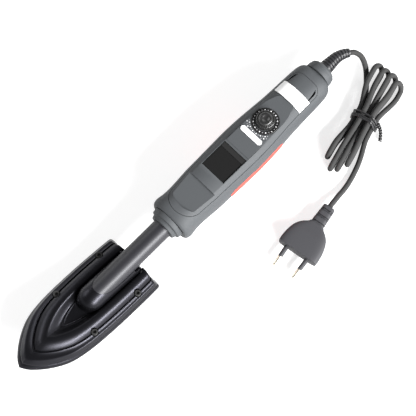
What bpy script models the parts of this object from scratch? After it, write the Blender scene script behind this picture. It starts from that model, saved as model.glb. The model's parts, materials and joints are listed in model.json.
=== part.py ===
"""A sealing iron: pointed shoe on a bent-down seat, shaft tube, handle with display and dial, tied cord.

The iron lies as it rests on a bench: the heel of the shoe and the belly of the handle touch z = 0.
The shaft's axis is level. Working values below are measured from the shoe's heel, +X towards the cord.
"""

import math

import bmesh
import bpy
from mathutils import Matrix, Vector

MM = 0.001

# Clearances
GAP = 0.3 * MM
OVERRUN = 3.0 * MM

# Pose of the shaft, which the boss meets so far from the heel
AXIS_HEIGHT = 22.0 * MM
BOSS_MEETING = 56.136 * MM

# Shoe outline and its relief; each ring above the sole's edge has its rise over the wall and its shares
SHOE_LENGTH = 125.5 * MM
SHOE_HALF_WIDTH = 29.0 * MM
SOLE_THICKNESS = 3.2 * MM
WALL_HEIGHT = 8.0 * MM
SHOULDER_RISE = 1.6 * MM
GROOVE_RISE = 0.8 * MM
RIDGE_FOOT_RISE = 1.8 * MM
RIDGE_RISE = 5.2 * MM
CREST_RISE = 5.8 * MM
VALLEY_RISE = 0.2 * MM
WALL_SHARES = (0.944, 0.883)
SHOULDER_SHARES = (0.883, 0.776)
GROOVE_SHARES = (0.872, 0.752)
RIDGE_FOOT_SHARES = (0.862, 0.731)
RIDGE_SHARES = (0.829, 0.648)
CREST_SHARES = (0.773, 0.448)
VALLEY_SHARES = (0.653, 0.297)
SHOE_REAR_DRAFT = 3.6 * MM
SHOE_CORNER = 2.6 * MM
SHOE_STEPS = 22
OUTLINE_SHARES = (
    (0.0, 0.97), (0.08, 0.985), (0.24, 1.0), (0.38, 1.0), (0.51, 0.985), (0.61, 0.955),
    (0.70, 0.895), (0.765, 0.815), (0.83, 0.68), (0.885, 0.53), (0.936, 0.355), (0.975, 0.18), (1.0, 0.0),
)

# Boss that takes the shaft, the notch behind it and the pocket under it
BOSS_RADIUS = 10.8 * MM
BOSS_HEIGHT = 11.5 * MM
BOSS_FLOOR = 5.0 * MM
BOSS_REAR = 7.0 * MM
BOSS_FRONT = 61.0 * MM
BOSS_NOSE = 12.0 * MM
BOSS_SIDES = 32
NOTCH_DEPTH = 11.5 * MM
NOTCH_HALF_WIDTH = 9.6 * MM
NOTCH_FLOOR = 5.4 * MM
POCKET_REAR = 42.0 * MM
POCKET_SHOULDER = 76.0 * MM
POCKET_FRONT = 104.0 * MM
POCKET_HALF_WIDTH = 14.0 * MM
POCKET_DEPTH = 2.9 * MM

# Shoe screws
SCREW_REAR = 20.3 * MM
SCREW_FRONT = 66.7 * MM
SCREW_EDGE = 7.3 * MM
SCREW_HEAD_RADIUS = 2.6 * MM
SCREW_HEAD_HEIGHT = 2.6 * MM
SCREW_SHANK_RADIUS = 1.4 * MM
SCREW_BITE = 2.2 * MM
SCREW_SOCKET_RADIUS = 1.45 * MM
SCREW_SOCKET_DEPTH = 1.5 * MM
COUNTERBORE_RADIUS = 3.2 * MM
COUNTERBORE_FLOOR = 7.6 * MM
COUNTERBORE_OVERRUN = 8.0 * MM

# Heater and sensor
HEATER_REAR = 57.0 * MM
HEATER_LENGTH = 27.0 * MM
HEATER_WIDTH = 18.0 * MM
HEATER_THICKNESS = 2.0 * MM
SENSOR_RADIUS = 1.0 * MM
SENSOR_LENGTH = 5.0 * MM
SENSOR_PLACE = 45.5 * MM
SENSOR_OFFSET = 10.0 * MM

# Shaft tube
TUBE_RADIUS = 8.5 * MM
TUBE_WALL = 1.0 * MM
TUBE_FRONT = -46.0 * MM
TUBE_INSERTION = 18.0 * MM
TUBE_SEAT_ROOM = 3.8 * MM

# Leads from the shoe to the board
LEAD_RADIUS = 0.75 * MM
LEAD_SPREAD = 2.6 * MM
SENSOR_LEAD_RADIUS = 0.6 * MM

# Nose ring
NOSE_FRONT = 31.2 * MM
NOSE_STEP = 34.4 * MM
NOSE_FRONT_RADIUS = 11.4 * MM
NOSE_STEP_RADIUS = 12.3 * MM
NOSE_RADIUS = 14.6 * MM
NOSE_NECK_RADIUS = 12.0 * MM
NOSE_NECK_LENGTH = 4.0 * MM

# Handle, each station as length, half width, top and bottom in shares of the sizes below
HANDLE_FRONT = 39.0 * MM
HANDLE_LENGTH = 168.0 * MM
HANDLE_HALF_WIDTH = 20.4 * MM
HANDLE_RISE = 17.8 * MM
HANDLE_BELLY = 0.9 * MM
HANDLE_WALL = 2.2 * MM
SECTION_POWER = 2.5
SECTION_SIDES = 36
HOLLOW_SIDES = 24
STATION_SHARES = (
    (0.0, 0.845, 0.905, 0.118), (0.008, 0.91, 0.928, 0.085), (0.03, 0.945, 0.952, 0.062),
    (0.065, 0.905, 0.958, 0.052), (0.107, 0.893, 0.97, 0.036), (0.16, 0.915, 0.984, 0.02),
    (0.22, 0.95, 0.995, 0.006), (0.30, 0.965, 1.0, 0.0), (0.39, 0.985, 1.0, 0.0), (0.482, 1.0, 1.0, 0.0),
    (0.57, 0.98, 0.996, 0.0), (0.66, 0.93, 0.986, 0.006), (0.72, 0.89, 0.974, 0.024),
    (0.79, 0.865, 0.956, 0.05),
    (0.87, 0.85, 0.93, 0.084), (0.93, 0.832, 0.902, 0.122), (0.968, 0.80, 0.872, 0.16),
    (0.99, 0.725, 0.832, 0.208), (1.0, 0.62, 0.79, 0.26),
)
HANDLE_STEPS = 24
HOLLOW_STEPS = 14

# Top cover let into the handle, its flat and the thumb rest before it
COVER_FRONT_LIP = 6.5 * MM
COVER_REAR_LIP = 10.0 * MM
COVER_INSET = 3.8 * MM
COVER_CORNER = 7.0 * MM
COVER_ARC_STEPS = 6
COVER_SIDE_STEPS = 14
COVER_NOSE_SHARE = 0.8
COVER_WALL = 1.5 * MM
COVER_SEAT_RISE = 4.0 * MM
COVER_ROOF = 1.5 * MM
FLAT_SINK = 2.8 * MM
FLAT_BEHIND_DIAL = 12.0 * MM
FLAT_EDGE = 7.4 * MM
THUMB_BEHIND_FRONT = 5.5 * MM
THUMB_BEFORE_WINDOW = 11.3 * MM
THUMB_EDGE = 7.0 * MM
THUMB_DROP = 1.1 * MM

# Display
WINDOW_PLACE_SHARE = 0.2875
WINDOW_LENGTH = 25.8 * MM
WINDOW_EDGE = 8.5 * MM
WINDOW_RECESS = 0.8 * MM
WINDOW_THICKNESS = 1.8 * MM
MODULE_OVERHANG = 1.6 * MM
MODULE_EDGE = 0.9 * MM

# Fascia, badge and label
FASCIA_BEHIND_WINDOW = 1.9 * MM
FASCIA_MARGIN = 0.9 * MM
FASCIA_THICKNESS = 0.5 * MM
BADGE_BEFORE_RING = 2.3 * MM
BADGE_EDGE = 1.3 * MM
BADGE_WIDTH = 5.0 * MM
BADGE_THICKNESS = 0.5 * MM
LABEL_BEHIND_FLAT = 1.4 * MM
LABEL_LENGTH = 11.8 * MM
LABEL_HALF_STEPS = 5
LABEL_THICKNESS = 0.3 * MM

# Dial
DIAL_PLACE_SHARE = 0.6410714
DIAL_HEIGHT = 7.6 * MM
DIAL_DIMPLE = 1.3 * MM
DIAL_FLUTES = 24
DIAL_FLUTE_DEPTH = 0.35 * MM
SCALE_RING_EDGE = 0.8 * MM
SCALE_RING_BREADTH = 2.7 * MM
SCALE_RING_ROOM = 0.8 * MM
SCALE_RING_RISE = 0.8 * MM
SPINDLE_RADIUS = 3.0 * MM
POT_RADIUS = 8.0 * MM

# Circuit board and what it carries
BOARD_BEFORE_WINDOW = 3.3 * MM
BOARD_BEFORE_CLAMP = 3.0 * MM
BOARD_REAR_SHARE = 0.872
BOARD_CLEARANCE = 0.5 * MM
BOARD_DROP = 9.0 * MM
BOARD_THICKNESS = 1.6 * MM
TERMINAL_LENGTH = 12.0 * MM
TERMINAL_DEPTH = 11.4 * MM
TERMINAL_EDGE = 5.0 * MM
TRIAC_SIZE = (10.0 * MM, 5.0 * MM, 15.0 * MM)
TRIAC_PLACE_SHARE = 0.52976
CAPACITOR_RADIUS = 5.0 * MM
CAPACITOR_DEPTH = 14.0 * MM
CAPACITOR_PLACE_SHARE = 0.41071

# Side inlays
INLAY_FRONT_SHARE = 0.29583
INLAY_REAR_SHARE = 0.64643
INLAY_DEPTH = 0.9 * MM
INLAY_PROUD = 0.35 * MM
INLAY_UP_ANGLE = math.radians(8.0)
INLAY_DOWN_ANGLE = math.radians(27.0)

# Handle screws and posts
POST_RADIUS = 3.0 * MM
POST_SPLIT_DROP = 4.0 * MM
POST_BEHIND_FRONT = 27.0 * MM
POST_BEFORE_REAR = 23.0 * MM
POST_REAR_SHARE = 0.8515
BOARD_POST_RADIUS = 2.2 * MM
BOARD_POST_INSET = 6.0 * MM
HANDLE_SCREW_HEAD_RADIUS = 2.1 * MM
HANDLE_SCREW_SHANK_RADIUS = 1.2 * MM
HANDLE_SCREW_SINK = 5.0 * MM
HANDLE_SCREW_HEAD_HEIGHT = 1.9 * MM
HANDLE_SCREW_BITE = 7.0 * MM

# Bracket that holds the shaft in the handle
BRACKET_BEHIND_FRONT = 10.0 * MM
BRACKET_THICKNESS = 5.0 * MM
BRACKET_RADIUS = 11.6 * MM
BRACKET_FOOT_WIDTH = 13.0 * MM

# Rear collar and strain relief
COLLAR_LENGTH = 8.4 * MM
COLLAR_RADIUS = 12.2 * MM
COLLAR_END_RADIUS = 11.2 * MM
COLLAR_NECK_RADIUS = 8.8 * MM
COLLAR_NECK_LENGTH = 4.5 * MM
RELIEF_BASE_RADIUS = 6.4 * MM
RELIEF_TIP_RADIUS = 3.7 * MM
RELIEF_STRAIGHT = 11.0 * MM
RELIEF_CURVED = 16.0 * MM
RELIEF_BEND = math.radians(38.0)
RELIEF_TILT = math.radians(30.0)
RELIEF_RIBS = 10
RELIEF_RIB_DEPTH = 0.9 * MM
RELIEF_SIDES = 12

# Cord
CORD_RADIUS = 2.25 * MM
CORD_ROUND_STEPS = 2
CLAMP_BEFORE_POST = 10.0 * MM
CLAMP_LENGTH = 6.0 * MM
CLAMP_EDGE = 1.0 * MM
CLAMP_THICKNESS = 2.4 * MM
CLAMP_POST_RADIUS = 2.4 * MM

# Hank: fingers side by side in two layers, drawn in at the tie, where every second run stands higher.
# The centre, the routes further below and the plug are placed from the middle of the collar's rear face.
HANK_CENTRE = (-3.9 * MM, -50.6 * MM)
HANK_TURN = math.radians(14.9)
HANK_FINGERS = 4
HANK_WAIST_PITCH = 4.0 * MM
HANK_WAIST_STAGGER = 3.25 * MM
HANK_WAIST_LAYER = 6.45 * MM
HANK_LOWER_PITCH = 5.1 * MM
HANK_UPPER_PITCH = 6.9 * MM
HANK_END_LAYER = 9.0 * MM
HANK_OPEN_REACH = 32.0 * MM
HANK_LOWER_REACH = (44.0 * MM, 52.0 * MM, 49.5 * MM, 42.0 * MM)
HANK_UPPER_REACH = (49.5 * MM, 48.5 * MM, 47.5 * MM, 44.0 * MM)
HANK_STRAY = 1.6 * MM
HANK_SETTLE = 13.0 * MM
HANK_END = 9.5 * MM
HANK_RUN_POINTS = 8
HANK_FOLD_POINTS = 4

# Tie
TIE_WIDTH = 11.0 * MM
TIE_THICKNESS = 0.7 * MM

# Plug to the two-pin standard
PLUG_FACE = (-122.4 * MM, -87.2 * MM)
PLUG_TURN = math.radians(8.8)
PLUG_WIDTH = 35.3 * MM
PLUG_THICKNESS = 13.7 * MM
PLUG_LENGTH = 28.0 * MM
PLUG_RELIEF_LENGTH = 17.5 * MM
PLUG_RELIEF_RADIUS = 5.2 * MM
PLUG_SHARES = (
    (0.0, 0.975), (0.04, 1.0), (0.40, 0.965), (0.60, 0.90),
    (0.74, 0.78), (0.85, 0.62), (0.94, 0.46), (1.0, 0.36),
)
PLUG_POWER = 3.6
PLUG_SIDES = 32
PIN_SPACING = 19.0 * MM
PIN_RADIUS = 2.0 * MM
PIN_LENGTH = 19.0 * MM
PIN_SLEEVE_LENGTH = 10.0 * MM
PIN_SLEEVE_RADIUS = 1.9 * MM
PIN_CONVERGE = math.radians(1.6)
PIN_SOCKET_DEPTH = 6.0 * MM

ROUND = 32
SMALL_ROUND = 14

# Colours as linear red, green and blue, then metallic and roughness
FINISHES = {
    "shoe_black": ((0.012, 0.012, 0.013), 0.0, 0.16),
    "tube_black": ((0.012, 0.012, 0.013), 0.0, 0.2),
    "sole_metal": ((0.014, 0.014, 0.015), 0.0, 0.22),
    "screw_black": ((0.02, 0.02, 0.021), 0.6, 0.35),
    "steel": ((0.6, 0.6, 0.6), 1.0, 0.35),
    "ceramic": ((0.75, 0.72, 0.66), 0.0, 0.6),
    "handle_grey": ((0.045, 0.046, 0.05), 0.0, 0.55),
    "fascia_grey": ((0.035, 0.036, 0.04), 0.0, 0.5),
    "window_black": ((0.006, 0.006, 0.008), 0.0, 0.08),
    "knob_black": ((0.015, 0.015, 0.016), 0.0, 0.3),
    "inlay_red": ((0.82, 0.06, 0.045), 0.0, 0.45),
    "badge_white": ((0.75, 0.75, 0.76), 0.0, 0.4),
    "label_white": ((0.8, 0.8, 0.8), 0.0, 0.5),
    "board_green": ((0.02, 0.12, 0.05), 0.0, 0.5),
    "component_dark": ((0.03, 0.03, 0.03), 0.0, 0.45),
    "wire_red": ((0.5, 0.02, 0.02), 0.0, 0.5),
    "cord_black": ((0.018, 0.018, 0.02), 0.0, 0.3),
    "plug_black": ((0.025, 0.025, 0.027), 0.0, 0.5),
    "pin_nickel": ((0.72, 0.68, 0.58), 1.0, 0.28),
}

# Heights that follow from the sizes above
BOSS_DISTANCE = math.hypot(BOSS_MEETING, BOSS_HEIGHT)
SHOE_PITCH = math.asin(AXIS_HEIGHT / BOSS_DISTANCE) - math.atan2(BOSS_HEIGHT, BOSS_MEETING)
HANDLE_TOP = AXIS_HEIGHT + HANDLE_RISE
FLAT_HEIGHT = HANDLE_TOP - FLAT_SINK
COVER_SEAT = AXIS_HEIGHT + COVER_SEAT_RISE
COVER_CEILING = FLAT_HEIGHT - THUMB_DROP - COVER_ROOF
BOARD_HEIGHT = FLAT_HEIGHT - BOARD_DROP
POST_SPLIT = AXIS_HEIGHT - POST_SPLIT_DROP

# Widths that follow
COVER_SIDE = COVER_INSET + COVER_WALL
FLAT_HALF_WIDTH = HANDLE_HALF_WIDTH - FLAT_EDGE
THUMB_HALF_WIDTH = HANDLE_HALF_WIDTH - THUMB_EDGE
WINDOW_WIDTH = 2 * (HANDLE_HALF_WIDTH - WINDOW_EDGE)
MODULE_WIDTH = WINDOW_WIDTH - 2 * MODULE_EDGE
FASCIA_HALF_WIDTH = FLAT_HALF_WIDTH - FASCIA_MARGIN
BADGE_LENGTH = 2 * (FASCIA_HALF_WIDTH - BADGE_EDGE)
SCALE_RING_RADIUS = FASCIA_HALF_WIDTH - SCALE_RING_EDGE
SCALE_RING_BORE = SCALE_RING_RADIUS - SCALE_RING_BREADTH
DIAL_RADIUS = SCALE_RING_BORE - SCALE_RING_ROOM
BOARD_WIDTH = 2 * (HANDLE_HALF_WIDTH * BOARD_REAR_SHARE - COVER_SIDE - BOARD_CLEARANCE)
TERMINAL_WIDTH = BOARD_WIDTH - 2 * TERMINAL_EDGE
CLAMP_WIDTH = BOARD_WIDTH - 2 * CLAMP_EDGE
CLAMP_POST_OFFSET = (CORD_RADIUS + GAP + CLAMP_WIDTH / 2) / 2
POST_OFFSET = (CORD_RADIUS + HANDLE_HALF_WIDTH * POST_REAR_SHARE - COVER_SIDE) / 2

# Places along the iron that follow
SHOE_TIP_X = -SHOE_LENGTH * math.cos(SHOE_PITCH)
HANDLE_REAR = HANDLE_FRONT + HANDLE_LENGTH
COLLAR_REAR = HANDLE_REAR + GAP + COLLAR_LENGTH
TUBE_REAR = HANDLE_FRONT + TUBE_INSERTION
BRACKET_PLACE = HANDLE_FRONT + BRACKET_BEHIND_FRONT
COVER_FRONT = HANDLE_FRONT + COVER_FRONT_LIP
COVER_REAR = HANDLE_REAR - COVER_REAR_LIP
WINDOW_FRONT = HANDLE_FRONT + HANDLE_LENGTH * WINDOW_PLACE_SHARE
MODULE_LENGTH = WINDOW_LENGTH + 2 * MODULE_OVERHANG
DIAL_PLACE = HANDLE_FRONT + HANDLE_LENGTH * DIAL_PLACE_SHARE
THUMB_FRONT = COVER_FRONT + THUMB_BEHIND_FRONT
FLAT_FRONT = WINDOW_FRONT - THUMB_BEFORE_WINDOW
FLAT_REAR = DIAL_PLACE + SCALE_RING_RADIUS + FLAT_BEHIND_DIAL
FASCIA_FRONT = WINDOW_FRONT + WINDOW_LENGTH + FASCIA_BEHIND_WINDOW
BADGE_PLACE = DIAL_PLACE - SCALE_RING_RADIUS - BADGE_BEFORE_RING - BADGE_WIDTH / 2
LABEL_FRONT = FLAT_REAR + LABEL_BEHIND_FLAT
INLAY_FRONT = HANDLE_FRONT + HANDLE_LENGTH * INLAY_FRONT_SHARE
INLAY_REAR = HANDLE_FRONT + HANDLE_LENGTH * INLAY_REAR_SHARE
POST_FRONT = HANDLE_FRONT + POST_BEHIND_FRONT
POST_REAR = HANDLE_REAR - POST_BEFORE_REAR
CORD_CLAMP_PLACE = POST_REAR - CLAMP_BEFORE_POST
BOARD_FRONT = WINDOW_FRONT - BOARD_BEFORE_WINDOW
BOARD_REAR = CORD_CLAMP_PLACE - CLAMP_LENGTH / 2 - BOARD_BEFORE_CLAMP
TRIAC_PLACE = HANDLE_FRONT + HANDLE_LENGTH * TRIAC_PLACE_SHARE
CAPACITOR_PLACE = HANDLE_FRONT + HANDLE_LENGTH * CAPACITOR_PLACE_SHARE
RELIEF_LENGTH = RELIEF_STRAIGHT + RELIEF_CURVED
RELIEF_ARC = RELIEF_CURVED / RELIEF_BEND
RELIEF_TIP_X = COLLAR_REAR + RELIEF_STRAIGHT + RELIEF_ARC * math.sin(RELIEF_BEND)
TAIL_X = RELIEF_TIP_X + RELIEF_TIP_RADIUS * math.sin(RELIEF_BEND)
CENTRE_X = (SHOE_TIP_X + TAIL_X) / 2


def clear_scene():
    """Removes what a new file holds."""
    for item in list(bpy.data.objects):
        bpy.data.objects.remove(item, do_unlink=True)


def finish(name):
    """The material of that name, made once."""
    found = bpy.data.materials.get(name)
    if found:
        return found
    colour, metallic, roughness = FINISHES[name]
    made = bpy.data.materials.new(name)
    made.use_nodes = True
    shader = made.node_tree.nodes["Principled BSDF"]
    shader.inputs["Base Color"].default_value = (*colour, 1.0)
    shader.inputs["Metallic"].default_value = metallic
    shader.inputs["Roughness"].default_value = roughness
    made.diffuse_color = (*colour, 1.0)
    return made


def add_object(name, data, material=None, place=None):
    """Links an object, with its origin above or below the frame's own unless a place is given."""
    made = bpy.data.objects.new(name, data)
    bpy.context.collection.objects.link(made)
    made.location = place if place is not None else (-CENTRE_X, 0.0, 0.0)
    if material:
        made.data.materials.append(finish(material))
    return made


def mesh_from(name, bm, smooth=True):
    """A mesh of a bmesh, with its faces turned outwards."""
    bmesh.ops.recalc_face_normals(bm, faces=bm.faces)
    data = bpy.data.meshes.new(name)
    bm.to_mesh(data)
    bm.free()
    if smooth:
        data.shade_smooth()
        data.set_sharp_from_angle(angle=math.radians(35.0))
    return data


def loft(name, rings, smooth=True):
    """A closed body through rings of equal point counts, capped at both ends."""
    bm = bmesh.new()
    rows = [[bm.verts.new(point) for point in ring] for ring in rings]
    for low, high in zip(rows, rows[1:]):
        for index, vert in enumerate(low):
            after = (index + 1) % len(low)
            bm.faces.new((vert, low[after], high[after], high[index]))
    bm.faces.new(rows[0][::-1])
    bm.faces.new(rows[-1])
    return mesh_from(name, bm, smooth)


def turned(name, profile, sides=ROUND, centre=(0.0, 0.0)):
    """A body turned about a line along X at centre (y, z), from a closed row of (x, radius) points."""
    bm = bmesh.new()
    closed = all(radius > 0.0 for _, radius in profile)
    rows = []
    for x, radius in profile:
        if radius == 0.0:
            rows.append([bm.verts.new((x, centre[0], centre[1]))])
            continue
        row = []
        for step in range(sides):
            angle = math.tau * step / sides
            side, up = radius * math.cos(angle), radius * math.sin(angle)
            row.append(bm.verts.new((x, centre[0] + side, centre[1] + up)))
        rows.append(row)
    pairs = list(zip(rows, rows[1:]))
    if closed:
        pairs.append((rows[-1], rows[0]))
    for low, high in pairs:
        for index in range(sides):
            after = (index + 1) % sides
            corners = [low[index % len(low)], low[after % len(low)]]
            corners += [high[after % len(high)], high[index % len(high)]]
            bm.faces.new(tuple(dict.fromkeys(corners)))
    return mesh_from(name, bm)


def upright(name, profile, sides=ROUND, place=(0.0, 0.0)):
    """A body turned about a vertical line at place (x, y), from (height, radius) points."""
    data = turned(name, profile, sides)
    data.transform(Matrix.Rotation(-math.pi / 2, 4, "Y"))
    data.transform(Matrix.Translation((place[0], place[1], 0.0)))
    return data


def rod(name, radius, low, high, place=(0.0, 0.0), sides=SMALL_ROUND):
    """A plain vertical cylinder."""
    return upright(name, ((low, 0.0), (low, radius), (high, radius), (high, 0.0)), sides, place)


def box(name, low, high):
    """A plain block between two corners."""
    ring = ((low[0], low[1]), (high[0], low[1]), (high[0], high[1]), (low[0], high[1]))
    return loft(name, [[(x, y, z) for x, y in ring] for z in (low[2], high[2])], smooth=False)


def joined(name, parts):
    """One mesh of several bodies that don't meet."""
    bm = bmesh.new()
    for data in parts:
        bm.from_mesh(data)
    return mesh_from(name, bm)


def prism(name, outline, low, high):
    """A closed outline in plan, drawn up from low to high."""
    return loft(name, [[(x, y, z) for x, y in outline] for z in (low, high)])


def tool(name, data, rotation=None, place=None):
    """A cutter or a guide, which is no piece of the iron."""
    made = add_object(name, data, place=place)
    made.hide_render = True
    made.display_type = "WIRE"
    if rotation:
        made.rotation_euler = rotation
    return made


def combine(target, other, operation="DIFFERENCE"):
    """Adds an exact Boolean to target."""
    modifier = target.modifiers.new(other.name, "BOOLEAN")
    modifier.operation = operation
    modifier.solver = "EXACT"
    modifier.object = other
    return target


def share_at(shares, at):
    """Reads a table of shares at a place, along a smooth curve through its rows."""
    last = len(shares) - 1
    index = max(i for i in range(last) if shares[i][0] <= at + 1e-9)
    before, here, there, beyond = (shares[min(max(i, 0), last)] for i in range(index - 1, index + 3))
    span = there[0] - here[0]
    part = min(max((at - here[0]) / span, 0.0), 1.0)
    values = []
    for column in range(1, len(here)):
        slope = (there[column] - here[column]) / span
        left = slope if index == 0 else (there[column] - before[column]) / (there[0] - before[0])
        right = slope if index + 1 == last else (beyond[column] - here[column]) / (beyond[0] - here[0])
        square, cube = part * part, part ** 3
        values.append(
            here[column] * (2 * cube - 3 * square + 1)
            + left * span * (cube - 2 * square + part)
            + there[column] * (3 * square - 2 * cube)
            + right * span * (cube - square)
        )
    return values


def smooth_step(value):
    """Eases from 0 to 1."""
    value = min(max(value, 0.0), 1.0)
    return value * value * (3.0 - 2.0 * value)


# Shoe

def shoe_outline(tip, half_width, height):
    """One ring of the shoe, from the rear left corner round the tip to the rear right corner."""
    rear = SHOE_REAR_DRAFT * min(height / WALL_HEIGHT, 1.0)
    corner_half_width = half_width * share_at(OUTLINE_SHARES, 0.0)[0]
    side = []
    for step in range(3):
        angle = math.pi / 2 * step / 3
        x = rear + SHOE_CORNER * (1.0 - math.cos(angle))
        side.append((-x, corner_half_width - SHOE_CORNER * (1.0 - math.sin(angle)), height))
    for step in range(SHOE_STEPS):
        at = math.sin(math.pi / 2 * step / SHOE_STEPS)
        x = rear + SHOE_CORNER + (tip - rear - SHOE_CORNER) * at
        side.append((-x, half_width * share_at(OUTLINE_SHARES, at)[0], height))
    mirrored = [(x, -y, z) for x, y, z in reversed(side)]
    return side + [(-tip, 0.0, height)] + mirrored


def wall_ring(height):
    """The shoe's drafted wall at a height."""
    part = height / WALL_HEIGHT
    tip_share, width_share = (1.0 + (share - 1.0) * part for share in WALL_SHARES)
    return shoe_outline(SHOE_LENGTH * tip_share, SHOE_HALF_WIDTH * width_share, height)


def relief_ring(shares, rise):
    """A ring of the cover's relief, from its shares of the sole's outline and its rise over the wall."""
    tip_share, width_share = shares
    return shoe_outline(SHOE_LENGTH * tip_share, SHOE_HALF_WIDTH * width_share, WALL_HEIGHT + rise)


def shoe_piece(name, data, material):
    """A piece of the shoe, pitched about the heel."""
    made = add_object(name, data, material)
    made.rotation_euler = (0.0, SHOE_PITCH, 0.0)
    return made


def shoe_tool(name, data):
    """A cutter in the shoe's own frame."""
    return tool(name, data, rotation=(0.0, SHOE_PITCH, 0.0))


def screw_places():
    """Where the four shoe screws stand, as distance from the heel and offset to the side."""
    for distance in (SCREW_REAR, SCREW_FRONT):
        edge = SHOE_HALF_WIDTH * share_at(OUTLINE_SHARES, distance / SHOE_LENGTH)[0]
        for side in (1, -1):
            yield -distance, side * (edge - SCREW_EDGE)


def shaft_cylinder(name, radius, front, rear):
    """A round cutter along the shaft's axis."""
    profile = ((front, 0.0), (front, radius), (rear, radius), (rear, 0.0))
    return tool(name, turned(name, profile, ROUND, (0.0, AXIS_HEIGHT)))


def make_sole():
    """The working plate, with threaded holes from above."""
    plate = loft("sole_plate", [wall_ring(0.0), wall_ring(SOLE_THICKNESS)])
    sole = shoe_piece("sole_plate", plate, "sole_metal")
    low = SOLE_THICKNESS - SCREW_BITE - GAP
    holes = [
        rod("hole", SCREW_SHANK_RADIUS + GAP, low, SOLE_THICKNESS + OVERRUN, place)
        for place in screw_places()
    ]
    combine(sole, shoe_tool("cut_sole_holes", joined("sole_holes", holes)))


def cover_body():
    """The shoe's relief from its lower edge up over the ridge and down into the valley."""
    base = SOLE_THICKNESS + GAP
    rings = [
        wall_ring(base),
        wall_ring(WALL_HEIGHT),
        relief_ring(SHOULDER_SHARES, SHOULDER_RISE),
        relief_ring(GROOVE_SHARES, GROOVE_RISE),
        relief_ring(RIDGE_FOOT_SHARES, RIDGE_FOOT_RISE),
        relief_ring(RIDGE_SHARES, RIDGE_RISE),
        relief_ring(CREST_SHARES, CREST_RISE),
        relief_ring(VALLEY_SHARES, VALLEY_RISE),
    ]
    bm = bmesh.new()
    rows = [[bm.verts.new(point) for point in ring] for ring in rings]
    for low, high in zip(rows, rows[1:]):
        for index in range(len(low) - 1):
            bm.faces.new((low[index], low[index + 1], high[index + 1], high[index]))
    bm.faces.new(rows[0][::-1])
    bm.faces.new(rows[-1])
    bm.faces.new((rows[0][-1], rows[0][0], rows[1][0], rows[1][-1]))
    bm.faces.new([row[0] for row in rows[1:]] + [row[-1] for row in rows[:0:-1]])
    return mesh_from("shoe_cover", bm)


def boss_body():
    """The bullet that takes the shaft, flat below, from the notch to its round nose."""
    stations = [(BOSS_REAR, 1.0), (BOSS_FRONT - BOSS_NOSE, 1.0)]
    steps = 7
    for step in range(1, steps):
        angle = math.pi / 2 * step / steps
        stations.append((BOSS_FRONT - BOSS_NOSE * (1.0 - math.sin(angle)), math.cos(angle)))
    rings = []
    for distance, size in stations:
        ring = []
        for step in range(BOSS_SIDES):
            angle = math.tau * step / BOSS_SIDES
            height = BOSS_HEIGHT + BOSS_RADIUS * size * math.sin(angle)
            floor = BOSS_FLOOR + (BOSS_HEIGHT - BOSS_FLOOR) * (1.0 - size) * math.sin(math.pi / 4)
            ring.append((-distance, BOSS_RADIUS * size * math.cos(angle), max(height, floor)))
        rings.append(ring)
    return loft("boss", rings)


def make_cover():
    """The cover over the heater, with the boss, the shaft's seat, the notch and the counterbores."""
    cover = shoe_piece("shoe_cover", cover_body(), "shoe_black")
    combine(cover, shoe_tool("add_boss", boss_body()), "UNION")
    base = SOLE_THICKNESS + GAP
    low = base - OVERRUN
    notch = box(
        "notch",
        (-NOTCH_DEPTH, -NOTCH_HALF_WIDTH, NOTCH_FLOOR),
        (OVERRUN, NOTCH_HALF_WIDTH, BOSS_HEIGHT + BOSS_RADIUS + OVERRUN),
    )
    outline = [
        (-POCKET_REAR, POCKET_HALF_WIDTH),
        (-POCKET_SHOULDER, POCKET_HALF_WIDTH),
        (-POCKET_FRONT, 0.0),
        (-POCKET_SHOULDER, -POCKET_HALF_WIDTH),
        (-POCKET_REAR, -POCKET_HALF_WIDTH),
    ]
    pocket = prism("pocket", outline, low, base + POCKET_DEPTH)
    shape = (
        (low, 0.0),
        (low, SCREW_SHANK_RADIUS + GAP),
        (COUNTERBORE_FLOOR, SCREW_SHANK_RADIUS + GAP),
        (COUNTERBORE_FLOOR, COUNTERBORE_RADIUS),
        (WALL_HEIGHT + COUNTERBORE_OVERRUN, COUNTERBORE_RADIUS),
        (WALL_HEIGHT + COUNTERBORE_OVERRUN, 0.0),
    )
    bores = [upright("bore", shape, SMALL_ROUND, place) for place in screw_places()]
    combine(cover, shoe_tool("cut_cover", joined("cover_cuts", [notch, pocket, *bores])))
    seat_front = TUBE_FRONT - TUBE_SEAT_ROOM
    combine(cover, shaft_cylinder("cut_shaft_seat", TUBE_RADIUS + GAP, seat_front, TUBE_REAR))


def make_shoe_screws():
    """Four socket screws that hold the cover to the plate."""
    seat = COUNTERBORE_FLOOR + GAP
    top = seat + SCREW_HEAD_HEIGHT
    for index, (x, y) in enumerate(screw_places()):
        shape = (
            (SOLE_THICKNESS - SCREW_BITE, 0.0),
            (SOLE_THICKNESS - SCREW_BITE, SCREW_SHANK_RADIUS),
            (seat, SCREW_SHANK_RADIUS),
            (seat, SCREW_HEAD_RADIUS),
            (top, SCREW_HEAD_RADIUS),
            (top, SCREW_SOCKET_RADIUS),
            (top - SCREW_SOCKET_DEPTH, SCREW_SOCKET_RADIUS),
            (top - SCREW_SOCKET_DEPTH, 0.0),
        )
        screw = upright("shoe_screw", shape, SMALL_ROUND, (x, y))
        shoe_piece(f"shoe_screw_{index + 1}", screw, "screw_black")


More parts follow.
